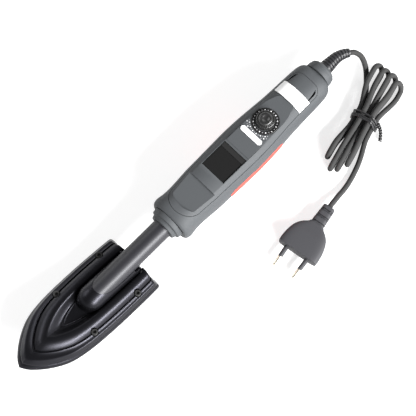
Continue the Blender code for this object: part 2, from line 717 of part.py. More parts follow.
def make_heater():
    """The flat heater on the plate, and the temperature sensor behind it."""
    base = SOLE_THICKNESS + GAP
    block = box(
        "heater_element",
        (-HEATER_REAR - HEATER_LENGTH, -HEATER_WIDTH / 2, base),
        (-HEATER_REAR, HEATER_WIDTH / 2, base + HEATER_THICKNESS),
    )
    shoe_piece("heater_element", block, "ceramic")
    bead = turned(
        "temperature_sensor",
        (
            (-SENSOR_PLACE - SENSOR_LENGTH / 2, 0.0),
            (-SENSOR_PLACE - SENSOR_LENGTH / 2, SENSOR_RADIUS),
            (-SENSOR_PLACE + SENSOR_LENGTH / 2, SENSOR_RADIUS),
            (-SENSOR_PLACE + SENSOR_LENGTH / 2, 0.0),
        ),
        12,
        (SENSOR_OFFSET, base + SENSOR_RADIUS),
    )
    shoe_piece("temperature_sensor", bead, "steel")


# Shaft

def make_tube():
    """The shaft from the boss into the handle, open at both ends."""
    inner = TUBE_RADIUS - TUBE_WALL
    shape = ((TUBE_FRONT, TUBE_RADIUS), (TUBE_REAR, TUBE_RADIUS), (TUBE_REAR, inner), (TUBE_FRONT, inner))
    add_object("shaft_tube", turned("shaft_tube", shape, ROUND, (0.0, AXIS_HEIGHT)), "tube_black")


def poly_tube(name, points, radius, material, setting=1, place=None):
    """A tube through a list of points, with filled ends."""
    curve = bpy.data.curves.new(name, "CURVE")
    curve.dimensions = "3D"
    curve.bevel_depth = radius
    curve.bevel_resolution = setting
    curve.use_fill_caps = True
    spline = curve.splines.new("POLY")
    spline.points.add(len(points) - 1)
    for target, point in zip(spline.points, points):
        target.co = (*point, 1.0)
    return add_object(name, curve, material, place)


def smooth_route(points, spacing):
    """Evenly spaced points on a smooth curve through a route whose two end stretches stay straight."""
    knots = [Vector(point) for point in points]
    fine = []
    for index in range(1, len(knots) - 2):
        before, here, there, beyond = knots[index - 1:index + 3]
        for step in range(24):
            t = step / 24
            fine.append(
                0.5 * (
                    2 * here
                    + (there - before) * t
                    + (2 * before - 5 * here + 4 * there - beyond) * t ** 2
                    + (3 * here - before - 3 * there + beyond) * t ** 3
                )
            )
    fine.append(knots[-2])
    walked = [0.0]
    for a, b in zip(fine, fine[1:]):
        walked.append(walked[-1] + (b - a).length)
    count = max(2, round(walked[-1] / spacing))
    route = [knots[0]]
    at = 0
    for step in range(count + 1):
        goal = walked[-1] * step / count
        while at < len(fine) - 2 and walked[at + 1] < goal:
            at += 1
        part = (goal - walked[at]) / (walked[at + 1] - walked[at])
        route.append(fine[at].lerp(fine[at + 1], min(max(part, 0.0), 1.0)))
    route.append(knots[-1])
    return route


def shoe_point(x, y, z):
    """A point of the shoe's own frame, in the iron's."""
    return Matrix.Rotation(SHOE_PITCH, 3, "Y") @ Vector((x, y, z))


def make_leads():
    """Two heater leads and the sensor's lead, from the shoe through the shaft to the board's edge."""
    base = SOLE_THICKNESS + GAP
    bore_floor = AXIS_HEIGHT - TUBE_RADIUS + TUBE_WALL
    board_edge = Vector((BOARD_FRONT - GAP, 0.0, BOARD_HEIGHT + BOARD_THICKNESS / 2))
    start = -HEATER_REAR + GAP
    for name, offset, radius in (
        ("heater_lead_left", LEAD_SPREAD, LEAD_RADIUS),
        ("heater_lead_right", -LEAD_SPREAD, LEAD_RADIUS),
        ("sensor_lead", 0.0, SENSOR_LEAD_RADIUS),
    ):
        side = Vector((0.0, offset, 0.0))
        low = bore_floor + LEAD_RADIUS + 2 * GAP
        points = [
            shoe_point(start, offset, base + HEATER_THICKNESS / 2),
            shoe_point(start + 2 * LEAD_RADIUS, offset, base + HEATER_THICKNESS / 2),
            Vector((TUBE_FRONT - TUBE_SEAT_ROOM / 2, offset, low - LEAD_RADIUS / 2)),
            Vector((TUBE_FRONT, offset, low)),
            Vector((0.0, offset, low + TUBE_WALL)),
            Vector((TUBE_REAR, offset, low + 2 * TUBE_WALL)),
            Vector((BOARD_FRONT - TUBE_RADIUS, offset, board_edge.z - TUBE_WALL)),
            board_edge + side - Vector((4 * LEAD_RADIUS, 0.0, 0.0)),
            board_edge + side,
        ]
        poly_tube(name, smooth_route(points, 8 * LEAD_RADIUS), radius, "wire_red")


def make_nose_ring():
    """The stepped ring where the shaft enters the handle."""
    bore = TUBE_RADIUS + GAP
    face = HANDLE_FRONT - GAP
    edge = (NOSE_RADIUS - NOSE_STEP_RADIUS) / 3
    shape = (
        (NOSE_FRONT, bore),
        (NOSE_FRONT, NOSE_FRONT_RADIUS - edge),
        (NOSE_FRONT + edge, NOSE_FRONT_RADIUS),
        (NOSE_STEP, NOSE_STEP_RADIUS),
        (NOSE_STEP, NOSE_RADIUS - edge),
        (NOSE_STEP + edge, NOSE_RADIUS),
        (face, NOSE_RADIUS),
        (face, NOSE_NECK_RADIUS),
        (face + NOSE_NECK_LENGTH, NOSE_NECK_RADIUS),
        (face + NOSE_NECK_LENGTH, bore),
    )
    add_object("nose_ring", turned("nose_ring", shape, ROUND, (0.0, AXIS_HEIGHT)), "handle_grey")


def make_bracket():
    """The bracket that carries the shaft on the handle's floor."""
    bore = TUBE_RADIUS + GAP
    rear = BRACKET_PLACE + BRACKET_THICKNESS
    shape = ((BRACKET_PLACE, bore), (BRACKET_PLACE, BRACKET_RADIUS), (rear, BRACKET_RADIUS), (rear, bore))
    holder = turned("shaft_bracket", shape, ROUND, (0.0, AXIS_HEIGHT))
    bracket = add_object("shaft_bracket", holder, "component_dark")
    floor = floor_at(BRACKET_PLACE, BRACKET_FOOT_WIDTH / 2) + GAP
    foot = box(
        "foot",
        (BRACKET_PLACE + GAP, -BRACKET_FOOT_WIDTH / 2, floor),
        (rear - GAP, BRACKET_FOOT_WIDTH / 2, AXIS_HEIGHT - bore - GAP),
    )
    combine(bracket, tool("add_bracket_foot", foot), "UNION")


# Handle

def section_point(x, angle, offset=0.0):
    """A point on the handle's skin, or as far inside or outside it as the offset says."""
    at = min(max((x - HANDLE_FRONT) / HANDLE_LENGTH, 0.0), 1.0)
    width_share, top_share, bottom_share = share_at(STATION_SHARES, at)
    half_width = HANDLE_HALF_WIDTH * width_share + offset
    top = HANDLE_TOP * top_share + offset
    bottom = HANDLE_TOP * bottom_share - HANDLE_BELLY - offset
    middle = (top + bottom) / 2
    reach = (top - bottom) / 2
    power = 2.0 / SECTION_POWER
    across, rise = math.cos(angle), math.sin(angle)
    y = half_width * math.copysign(abs(across) ** power, across)
    z = middle + reach * math.copysign(abs(rise) ** power, rise)
    return (x, y, z)


def handle_body(name, offset, front, rear, sides=SECTION_SIDES, steps=HANDLE_STEPS, ceiling=HANDLE_TOP):
    """The handle's form between two stations, grown or shrunk by an offset and no higher than a ceiling."""
    rings = []
    for step in range(steps + 1):
        share = 0.5 - 0.5 * math.cos(math.pi * step / steps)
        blend = 0.45 * share + 0.55 * step / steps
        at = front + (rear - front) * blend
        ring = [section_point(at, math.tau * k / sides, offset) for k in range(sides)]
        rings.append([(x, y, min(z, ceiling)) for x, y, z in ring])
    return loft(name, rings)


def round_ended(front, rear, half_width, round_front=True, round_rear=True, steps=10):
    """An outline in plan along X, with half-round ends where asked."""
    points = []
    reach = half_width * 0.85
    if round_rear:
        for step in range(steps + 1):
            angle = -math.pi / 2 + math.pi * step / steps
            points.append((rear - reach + reach * math.cos(angle), half_width * math.sin(angle)))
    else:
        points += [(rear, -half_width), (rear, half_width)]
    if round_front:
        for step in range(steps + 1):
            angle = math.pi / 2 + math.pi * step / steps
            points.append((front + reach + reach * math.cos(angle), half_width * math.sin(angle)))
    else:
        points += [(front, half_width), (front, -half_width)]
    return points


def cover_outline(grow):
    """The top cover's outline in plan, which follows the handle's sides."""
    front, rear = COVER_FRONT - grow, COVER_REAR + grow
    nose = (HANDLE_HALF_WIDTH - COVER_INSET) * COVER_NOSE_SHARE
    corner = COVER_CORNER + grow

    def half_width(x):
        at = (x - HANDLE_FRONT) / HANDLE_LENGTH
        return HANDLE_HALF_WIDTH * share_at(STATION_SHARES, at)[0] - COVER_INSET + grow

    side = []
    for step in range(1, COVER_ARC_STEPS):
        angle = math.pi / 2 * step / COVER_ARC_STEPS
        x = front + nose * (1.0 - math.cos(angle))
        side.append((x, half_width(x) * math.sin(angle)))
    for step in range(COVER_SIDE_STEPS + 1):
        x = front + nose + (rear - corner - front - nose) * step / COVER_SIDE_STEPS
        side.append((x, half_width(x)))
    for step in range(1, COVER_ARC_STEPS + 1):
        angle = math.pi / 2 * step / COVER_ARC_STEPS
        x = rear - corner * (1.0 - math.sin(angle))
        side.append((x, half_width(x) - corner * (1.0 - math.cos(angle))))
    right = [(x, -y) for x, y in side]
    return [(front, 0.0)] + right + side[::-1]


def post_places():
    """Where the four handle screws stand."""
    for x in (POST_FRONT, POST_REAR):
        for side in (1, -1):
            yield x, side * POST_OFFSET


def board_post_places():
    """Where the board stands on the lower shell."""
    for x in (BOARD_FRONT + BOARD_POST_INSET, BOARD_REAR - BOARD_POST_INSET):
        for side in (1, -1):
            yield x, side * (BOARD_WIDTH / 2 - BOARD_POST_RADIUS)


def floor_at(x, y=0.0):
    """The height of the handle's inner floor below a place."""
    x = min(max(x, HANDLE_FRONT), HANDLE_REAR)
    best = None
    for step in range(40):
        angle = -math.pi / 2 + math.pi / 2 * step / 40
        _, side, height = section_point(x, angle, -HANDLE_WALL)
        if best is None or side <= abs(y):
            best = height
    return best


def clamp_places():
    """Where the cord clamp's two posts stand."""
    return [(CORD_CLAMP_PLACE, side * CLAMP_POST_OFFSET) for side in (1, -1)]


def hollow_body():
    """The space inside the handle."""
    front, rear = HANDLE_FRONT + HANDLE_WALL, HANDLE_REAR - HANDLE_WALL
    return handle_body("hollow", -HANDLE_WALL, front, rear, HOLLOW_SIDES, HOLLOW_STEPS)


def lower_posts():
    """The posts that stand on the lower shell's floor."""
    posts = []
    for place in post_places():
        posts.append(rod("post", POST_RADIUS, floor_at(*place) - HANDLE_WALL / 2, POST_SPLIT - GAP, place))
    for place in board_post_places():
        low = floor_at(*place) - HANDLE_WALL / 2
        posts.append(rod("post", BOARD_POST_RADIUS, low, BOARD_HEIGHT - GAP, place, 12))
    for place in clamp_places():
        posts.append(rod("post", CLAMP_POST_RADIUS, floor_at(*place) - HANDLE_WALL / 2, AXIS_HEIGHT, place))
    return joined("lower_posts", posts)


def lower_bores():
    """The screw holes of the lower shell."""
    bores = []
    for place in post_places():
        seat = screw_seat(*place) - GAP
        shape = (
            (-HANDLE_BELLY - OVERRUN, 0.0),
            (-HANDLE_BELLY - OVERRUN, HANDLE_SCREW_HEAD_RADIUS + GAP),
            (seat, HANDLE_SCREW_HEAD_RADIUS + GAP),
            (seat, HANDLE_SCREW_SHANK_RADIUS + GAP),
            (POST_SPLIT + OVERRUN, HANDLE_SCREW_SHANK_RADIUS + GAP),
            (POST_SPLIT + OVERRUN, 0.0),
        )
        bores.append(upright("bore", shape, SMALL_ROUND, place))
    for place in clamp_places():
        low = AXIS_HEIGHT - HANDLE_SCREW_BITE
        bores.append(rod("bore", HANDLE_SCREW_SHANK_RADIUS + GAP, low, AXIS_HEIGHT + OVERRUN, place))
    return joined("lower_bores", bores)


def make_lower_shell():
    """The boat-shaped lower shell, with the front and rear of the handle in one."""
    outside = handle_body("lower_shell", 0.0, HANDLE_FRONT, HANDLE_REAR)
    shell = add_object("lower_shell", outside, "handle_grey")
    combine(shell, tool("cut_lower_hollow", hollow_body()))
    opening = prism("opening", cover_outline(GAP), COVER_SEAT, HANDLE_TOP + OVERRUN)
    combine(shell, tool("cut_cover_opening", opening))
    ends = []
    for radius, front, rear in (
        (NOSE_NECK_RADIUS + GAP, HANDLE_FRONT - OVERRUN, HANDLE_FRONT + 2 * HANDLE_WALL),
        (COLLAR_NECK_RADIUS + GAP, HANDLE_REAR - 2 * HANDLE_WALL, HANDLE_REAR + OVERRUN),
    ):
        profile = ((front, 0.0), (front, radius), (rear, radius), (rear, 0.0))
        ends.append(turned("end", profile, ROUND, (0.0, AXIS_HEIGHT)))
    combine(shell, tool("cut_ends", joined("ends", ends)))
    combine(shell, tool("add_lower_posts", lower_posts()), "UNION")
    bench = box(
        "bench",
        (HANDLE_FRONT - OVERRUN, -HANDLE_HALF_WIDTH, -HANDLE_BELLY - OVERRUN),
        (HANDLE_REAR + OVERRUN, HANDLE_HALF_WIDTH, 0.0),
    )
    combine(shell, tool("cut_bench", bench))
    seats = [inlay_body("inlay_seat", side, GAP, OVERRUN) for side in (1, -1)]
    combine(shell, tool("cut_inlay_seats", joined("inlay_seats", seats)))
    combine(shell, tool("cut_lower_bores", lower_bores()))


def screw_seat(x, y):
    """The height at which a handle screw's head seats."""
    return floor_at(x, y) - HANDLE_WALL + HANDLE_SCREW_SINK


def make_upper_shell():
    """The top cover: a lid with a skirt, the display's opening, the dial's hole and posts for the screws."""
    outer = handle_body("upper_shell", 0.0, HANDLE_FRONT, HANDLE_REAR)
    shell = add_object("upper_shell", outer, "handle_grey")
    keep = prism("keep", cover_outline(0.0), COVER_SEAT + GAP, HANDLE_TOP + OVERRUN)
    combine(shell, tool("keep_cover", keep), "INTERSECT")
    inside = prism("inside", cover_outline(-COVER_WALL), COVER_SEAT - OVERRUN, COVER_CEILING)
    combine(shell, tool("cut_inside", inside))
    sky = HANDLE_TOP + OVERRUN
    flat = round_ended(THUMB_FRONT + THUMB_HALF_WIDTH, FLAT_REAR, FLAT_HALF_WIDTH, round_front=False)
    combine(shell, tool("cut_flat", prism("flat", flat, FLAT_HEIGHT, sky)))
    thumb = round_ended(THUMB_FRONT, FLAT_FRONT, THUMB_HALF_WIDTH, round_rear=False)
    combine(shell, tool("cut_thumb_rest", prism("thumb", thumb, FLAT_HEIGHT - THUMB_DROP, sky)))
    rear = BRACKET_PLACE + BRACKET_THICKNESS + GAP
    combine(shell, shaft_cylinder("cut_shaft_room", BRACKET_RADIUS + GAP, COVER_FRONT - OVERRUN, rear))
    posts = [rod("post", POST_RADIUS, POST_SPLIT, COVER_CEILING + GAP, place) for place in post_places()]
    combine(shell, tool("add_upper_posts", joined("upper_posts", posts)), "UNION")
    low = POST_SPLIT - OVERRUN
    bores = [
        rod("bore", HANDLE_SCREW_SHANK_RADIUS + GAP, low, screw_top() + 2 * GAP, place)
        for place in post_places()
    ]
    window = box(
        "window",
        (WINDOW_FRONT, -WINDOW_WIDTH / 2, COVER_CEILING - OVERRUN),
        (WINDOW_FRONT + WINDOW_LENGTH, WINDOW_WIDTH / 2, sky),
    )
    hole = rod("hole", SPINDLE_RADIUS + 2 * GAP, COVER_CEILING - OVERRUN, sky, (DIAL_PLACE, 0.0))
    combine(shell, tool("cut_upper_holes", joined("upper_holes", [*bores, window, hole])))


def screw_top():
    """The height that a handle screw's point reaches."""
    return POST_SPLIT + HANDLE_SCREW_BITE


def make_handle_screws():
    """Four screws from below that hold the top cover, and two for the cord clamp."""
    for index, (x, y) in enumerate(post_places()):
        seat = screw_seat(x, y)
        low = seat - GAP - HANDLE_SCREW_HEAD_HEIGHT
        shape = (
            (low, 0.0),
            (low, HANDLE_SCREW_HEAD_RADIUS),
            (seat - 2 * GAP, HANDLE_SCREW_HEAD_RADIUS),
            (seat - 2 * GAP, HANDLE_SCREW_SHANK_RADIUS),
            (screw_top(), HANDLE_SCREW_SHANK_RADIUS),
            (screw_top(), 0.0),
        )
        add_object(f"handle_screw_{index + 1}", upright("handle_screw", shape, 16, (x, y)), "steel")


def inlay_body(name, side, grow, proud):
    """A side inlay that follows the skin, or the cutter for its seat."""
    inner = -INLAY_DEPTH - grow
    front, rear = INLAY_FRONT - grow, INLAY_REAR + grow
    steps, rows = 12, 4
    rings = []
    for step in range(steps + 1):
        x = front + (rear - front) * step / steps
        end = min(x - front, rear - x) / (6 * INLAY_DEPTH)
        taper = 0.35 + 0.65 * smooth_step(end)
        spare = grow / HANDLE_HALF_WIDTH * 1.4
        up, down = INLAY_UP_ANGLE * taper + spare, INLAY_DOWN_ANGLE * taper + spare
        outer, under = [], []
        for row in range(rows + 1):
            angle = -down + (up + down) * row / rows
            for depth, line in ((proud, outer), (inner, under)):
                _, y, z = section_point(x, angle, depth)
                line.append((x, side * y, z))
        rings.append(outer + under[::-1])
    return loft(name, rings)


def make_inlays():
    """The two red strips let into the sides."""
    for side, name in ((1, "left"), (-1, "right")):
        data = inlay_body(f"grip_inlay_{name}", side, 0.0, INLAY_PROUD)
        add_object(f"grip_inlay_{name}", data, "inlay_red")


def make_display():
    """The window and the module behind it."""
    top = FLAT_HEIGHT - WINDOW_RECESS
    low = top - WINDOW_THICKNESS
    front, rear = WINDOW_FRONT + GAP, WINDOW_FRONT + WINDOW_LENGTH - GAP
    half = WINDOW_WIDTH / 2 - GAP
    pane = box("display_window", (front, -half, low), (rear, half, top))
    add_object("display_window", pane, "window_black")
    base = BOARD_HEIGHT + BOARD_THICKNESS + GAP
    middle = (front + rear) / 2
    module = box(
        "display_module",
        (middle - MODULE_LENGTH / 2, -MODULE_WIDTH / 2, base),
        (middle + MODULE_LENGTH / 2, MODULE_WIDTH / 2, low - GAP),
    )
    add_object("display_module", module, "component_dark")


def make_fascia():
    """The thin panel on the flat, the scale ring, the badge and the label."""
    rear = FLAT_REAR - FASCIA_MARGIN
    outline = round_ended(FASCIA_FRONT, rear, FASCIA_HALF_WIDTH, round_front=False, steps=16)
    low = FLAT_HEIGHT + GAP
    panel = prism("fascia_panel", outline, low, low + FASCIA_THICKNESS)
    fascia = add_object("fascia_panel", panel, "fascia_grey")
    hole = rod("hole", SCALE_RING_RADIUS + GAP, low - OVERRUN, low + OVERRUN, (DIAL_PLACE, 0.0), 40)
    combine(fascia, tool("cut_fascia_hole", hole))
    shape = (
        (low, SCALE_RING_BORE),
        (low, SCALE_RING_RADIUS),
        (low + SCALE_RING_RISE, SCALE_RING_RADIUS - GAP),
        (low + SCALE_RING_RISE, SCALE_RING_BORE),
    )
    add_object("scale_ring", upright("scale_ring", shape, 40, (DIAL_PLACE, 0.0)), "knob_black")
    seat = low + FASCIA_THICKNESS + GAP
    badge = round_ended(-BADGE_LENGTH / 2, BADGE_LENGTH / 2, BADGE_WIDTH / 2, steps=8)
    data = prism("badge_plate", badge, seat, seat + BADGE_THICKNESS)
    data.transform(Matrix.Translation((BADGE_PLACE, 0.0, 0.0)) @ Matrix.Rotation(math.pi / 2, 4, "Z"))
    add_object("badge_plate", data, "badge_white")


def make_label():
    """The blank label bent over the rear of the handle."""
    steps = 4
    rings = []
    for step in range(steps + 1):
        x = LABEL_FRONT + LABEL_LENGTH * step / steps
        outer, under = [], []
        for row in range(-LABEL_HALF_STEPS, LABEL_HALF_STEPS + 1):
            angle = math.pi / 2 + math.tau * row / SECTION_SIDES
            outer.append(section_point(x, angle, GAP + LABEL_THICKNESS))
            under.append(section_point(x, angle, GAP))
        rings.append(outer + under[::-1])
    add_object("rating_label", loft("rating_label", rings), "label_white")


def make_board():
    """The circuit board with the dial's potentiometer, a terminal block, a triac and a capacitor."""
    half = BOARD_WIDTH / 2
    top = BOARD_HEIGHT + BOARD_THICKNESS
    board = box("circuit_board", (BOARD_FRONT, -half, BOARD_HEIGHT), (BOARD_REAR, half, top))
    add_object("circuit_board", board, "board_green")
    pot_top = COVER_CEILING - GAP
    floor = top + 2 * GAP + TUBE_WALL
    shape = (
        (top + GAP, 0.0),
        (top + GAP, POT_RADIUS),
        (pot_top, POT_RADIUS),
        (pot_top, SPINDLE_RADIUS + GAP),
        (floor, SPINDLE_RADIUS + GAP),
        (floor, 0.0),
    )
    add_object("potentiometer", upright("potentiometer", shape, 24, (DIAL_PLACE, 0.0)), "steel")
    ceiling = BOARD_HEIGHT - GAP
    low = (BOARD_REAR - TERMINAL_LENGTH, -TERMINAL_WIDTH / 2, ceiling - TERMINAL_DEPTH)
    high = (BOARD_REAR, TERMINAL_WIDTH / 2, ceiling)
    add_object("terminal_block", box("terminal_block", low, high), "component_dark")
    length, width, height = TRIAC_SIZE
    low = (TRIAC_PLACE - length / 2, -width / 2, ceiling - height)
    high = (TRIAC_PLACE + length / 2, width / 2, ceiling)
    add_object("triac", box("triac", low, high), "component_dark")
    can = rod("capacitor", CAPACITOR_RADIUS, ceiling - CAPACITOR_DEPTH, ceiling, (CAPACITOR_PLACE, 0.0))
    add_object("capacitor", can, "component_dark")
    return floor


def make_dial(pot_floor):
    """The knob and its spindle, under an empty on the axis that they turn about."""
    seat = FLAT_HEIGHT + GAP
    axis = bpy.data.objects.new("dial_axis", None)
    bpy.context.collection.objects.link(axis)
    axis.location = (DIAL_PLACE - CENTRE_X, 0.0, seat)
    spindle_top = seat + DIAL_HEIGHT - DIAL_DIMPLE - 2 * DIAL_DIMPLE
    foot = pot_floor + GAP - seat
    shaft = rod("dial_spindle", SPINDLE_RADIUS, foot, spindle_top - seat)
    spindle = add_object("dial_spindle", shaft, "steel", (0, 0, 0))
    spindle.parent = axis
    levels = (
        (0.0, 1.0, 1.0),
        (0.45, 1.0, 1.0),
        (0.72, 0.965, 0.7),
        (0.88, 0.88, 0.25),
        (0.97, 0.72, 0.0),
        (1.0, 0.55, 0.0),
        (0.965, 0.32, 0.0),
        (0.86, 0.12, 0.0),
    )
    rings = []
    count = DIAL_FLUTES * 2
    for level_share, radius_share, flute_share in levels:
        ring = []
        for step in range(count):
            radius = DIAL_RADIUS * radius_share - DIAL_FLUTE_DEPTH * flute_share * (step % 2)
            angle = math.tau * step / count
            level = GAP + DIAL_HEIGHT * level_share
            ring.append((radius * math.cos(angle), radius * math.sin(angle), level))
        rings.append(ring)
    knob = add_object("dial_knob", loft("dial_knob", rings), "knob_black", (0, 0, 0))
    knob.parent = axis
    bore = rod("bore", SPINDLE_RADIUS + GAP, -OVERRUN, spindle_top - seat + GAP)
    cutter = tool("cut_knob_bore", bore, place=(0, 0, 0))
    cutter.parent = axis
    combine(knob, cutter)


# Rear end and cord

def relief_frame(along):
    """Centre and direction of the strain relief at a distance from the collar's rear face."""
    angle = max(along - RELIEF_STRAIGHT, 0.0) / RELIEF_ARC
    sideways = Vector((0.0, -math.cos(RELIEF_TILT), -math.sin(RELIEF_TILT)))
    forward = Vector((1.0, 0.0, 0.0))
    centre = Vector((COLLAR_REAR + min(along, RELIEF_STRAIGHT), 0.0, AXIS_HEIGHT))
    centre += RELIEF_ARC * (math.sin(angle) * forward + (1.0 - math.cos(angle)) * sideways)
    return centre, math.cos(angle) * forward + math.sin(angle) * sideways


def swept(name, stations, sides):
    """A body through round stations, each a centre, a direction and a radius."""
    rings = []
    for centre, direction, radius in stations:
        across = Vector((0.0, 0.0, 1.0)).cross(direction).normalized()
        up = direction.cross(across)
        rings.append([
            centre + radius * (math.cos(math.tau * k / sides) * across + math.sin(math.tau * k / sides) * up)
            for k in range(sides)
        ])
    return loft(name, rings)


def make_rear():
    """The collar behind the handle, the ribbed strain relief, the cord's inner end and its clamp."""
    face = HANDLE_REAR + GAP
    bore = RELIEF_BASE_RADIUS + GAP
    edge = (COLLAR_RADIUS - COLLAR_END_RADIUS)
    shape = (
        (face - COLLAR_NECK_LENGTH, bore),
        (face - COLLAR_NECK_LENGTH, COLLAR_NECK_RADIUS),
        (face, COLLAR_NECK_RADIUS),
        (face, COLLAR_RADIUS),
        (COLLAR_REAR - 2 * edge, COLLAR_END_RADIUS),
        (COLLAR_REAR, COLLAR_END_RADIUS - 2 * edge),
        (COLLAR_REAR, bore),
    )
    add_object("rear_collar", turned("rear_collar", shape, ROUND, (0.0, AXIS_HEIGHT)), "handle_grey")
    inner = -(COLLAR_LENGTH + COLLAR_NECK_LENGTH)
    stations = [(*relief_frame(inner), RELIEF_BASE_RADIUS), (*relief_frame(0.0), RELIEF_BASE_RADIUS)]
    rib = RELIEF_LENGTH / (RELIEF_RIBS + 0.5)
    for index in range(RELIEF_RIBS):
        for place_share, depth_share in ((0.12, 1.0), (0.38, 1.0), (0.5, 0.0), (0.98, 0.0)):
            along = rib * (index + place_share)
            taper = along / RELIEF_LENGTH
            radius = RELIEF_BASE_RADIUS + (RELIEF_TIP_RADIUS - RELIEF_BASE_RADIUS) * taper
            depth = RELIEF_RIB_DEPTH * (1.0 - 0.45 * taper) * depth_share
            stations.append((*relief_frame(along), radius - depth))
    stations.append((*relief_frame(RELIEF_LENGTH), RELIEF_TIP_RADIUS - RELIEF_RIB_DEPTH / 2))
    add_object("strain_relief", swept("strain_relief", stations, RELIEF_SIDES), "cord_black")
    start = relief_frame(inner)[0] - Vector((GAP, 0.0, 0.0))
    block_face = Vector((BOARD_REAR + GAP, 0.0, AXIS_HEIGHT))
    points = [
        start,
        start - Vector((2 * CORD_RADIUS, 0.0, 0.0)),
        (start + block_face) / 2,
        block_face + Vector((2 * CORD_RADIUS, 0.0, 0.0)),
        block_face,
    ]
    line = smooth_route(points, 2 * CORD_RADIUS)
    poly_tube("cord_inner_end", line, CORD_RADIUS, "cord_black", CORD_ROUND_STEPS)
    low = AXIS_HEIGHT + CORD_RADIUS + GAP
    bar = box(
        "cord_clamp",
        (CORD_CLAMP_PLACE - CLAMP_LENGTH / 2, -CLAMP_WIDTH / 2, low),
        (CORD_CLAMP_PLACE + CLAMP_LENGTH / 2, CLAMP_WIDTH / 2, low + CLAMP_THICKNESS),
    )
    clamp = add_object("cord_clamp", bar, "component_dark")
    top = low + CLAMP_THICKNESS / 2
    feet = [rod("foot", CLAMP_POST_RADIUS, AXIS_HEIGHT + GAP, top, place) for place in clamp_places()]
    combine(clamp, tool("add_clamp_feet", joined("clamp_feet", feet)), "UNION")
    bore = HANDLE_SCREW_SHANK_RADIUS + GAP
    top = low + 2 * CLAMP_THICKNESS
    holes = [rod("hole", bore, AXIS_HEIGHT - OVERRUN, top, place) for place in clamp_places()]
    combine(clamp, tool("cut_clamp", joined("clamp_holes", holes)))
    seat = low + CLAMP_THICKNESS + GAP
    for index, place in enumerate(clamp_places()):
        shape = (
            (AXIS_HEIGHT - HANDLE_SCREW_BITE + 2 * GAP, 0.0),
            (AXIS_HEIGHT - HANDLE_SCREW_BITE + 2 * GAP, HANDLE_SCREW_SHANK_RADIUS),
            (seat, HANDLE_SCREW_SHANK_RADIUS),
            (seat, HANDLE_SCREW_HEAD_RADIUS),
            (seat + HANDLE_SCREW_HEAD_HEIGHT, HANDLE_SCREW_HEAD_RADIUS),
            (seat + HANDLE_SCREW_HEAD_HEIGHT, 0.0),
        )
        add_object(f"clamp_screw_{index + 1}", upright("clamp_screw", shape, 16, place), "steel")


def cord_spot(x, y, z):
    """A place given from the middle of the collar's rear face, and from the bench up."""
    return Vector((COLLAR_REAR + x, y, z))


def hank_place(u, v, z):
    """A point of the hank, from its distance along the runs, across them and up."""
    along = Vector((math.cos(HANK_TURN), math.sin(HANK_TURN), 0.0))
    across = Vector((math.sin(HANK_TURN), -math.cos(HANK_TURN), 0.0))
    return cord_spot(*HANK_CENTRE, z) + u * along + v * across


def hank_column(u, column, layer):
    """A point on one run: runs lie close at the tie and open towards both ends."""
    opened = smooth_step((abs(u) - TIE_WIDTH / 2) / (HANK_OPEN_REACH - TIE_WIDTH / 2))
    wide = HANK_UPPER_PITCH if u > 0.0 else HANK_LOWER_PITCH
    pitch = HANK_WAIST_PITCH + (wide - HANK_WAIST_PITCH) * opened
    across = (column - HANK_FINGERS / 2) * pitch
    if column == 0 and u < 0.0:
        across -= HANK_STRAY * opened
    step = HANK_WAIST_LAYER + (HANK_END_LAYER - HANK_WAIST_LAYER) * opened
    stagger = HANK_WAIST_STAGGER * (column % 2) * (1.0 - opened * opened)
    lift = (TIE_THICKNESS + GAP) * (1.0 - smooth_step((abs(u) - TIE_WIDTH / 2) / HANK_SETTLE))
    return hank_place(u, across, CORD_RADIUS + lift + stagger + layer * step)


def hank_run(start, stop, column, layer):
    """The points of one run, without its last."""
    return [
        hank_column(start + (stop - start) * step / HANK_RUN_POINTS, column, layer)
        for step in range(HANK_RUN_POINTS)
    ]


def hank_fold(first, last, away):
    """A half-round fold between the ends of two runs, without its last point."""
    middle = (first + last) / 2
    arm = (first - last) / 2
    points = []
    for step in range(HANK_FOLD_POINTS):
        angle = math.pi * step / HANK_FOLD_POINTS
        points.append(middle + arm * math.cos(angle) + away * arm.length * math.sin(angle))
    return points


def hank_points():
    """The hank's whole path: each finger runs down below, back above, and folds to the next column."""
    along = Vector((math.cos(HANK_TURN), math.sin(HANK_TURN), 0.0))
    points = []
    top = HANK_END
    lower_fold = HANK_END_LAYER / 2 + CORD_RADIUS
    upper_fold = math.hypot(HANK_END_LAYER, HANK_UPPER_PITCH) / 2 + CORD_RADIUS
    for finger in range(HANK_FINGERS):
        low = lower_fold - HANK_LOWER_REACH[finger]
        high = HANK_UPPER_REACH[finger] - upper_fold
        points += hank_run(top, low, finger, 0)
        points += hank_fold(hank_column(low, finger, 0), hank_column(low, finger, 1), -along)
        points += hank_run(low, high, finger, 1)
        points += hank_fold(hank_column(high, finger, 1), hank_column(high, finger + 1, 0), along)
        top = high
    points += hank_run(top, -HANK_END, HANK_FINGERS, 0)
    points.append(hank_column(-HANK_END, HANK_FINGERS, 0))
    return points


def least_gap(points, radius):
    """The least distance between two stretches of a tube that aren't neighbours along it."""
    fine = []
    for a, b in zip(points, points[1:]):
        steps = max(1, round((b - a).length / (radius / 2)))
        fine += [a.lerp(b, step / steps) for step in range(steps)]
    skip = round(math.pi * 2)
    near = (
        (fine[i] - fine[j]).length
        for i in range(len(fine))
        for j in range(i + 2 * skip, len(fine))
    )
    return min(near) - 2 * radius


# The cord's free stretches, from the strain relief to the hank and from the hank to the plug

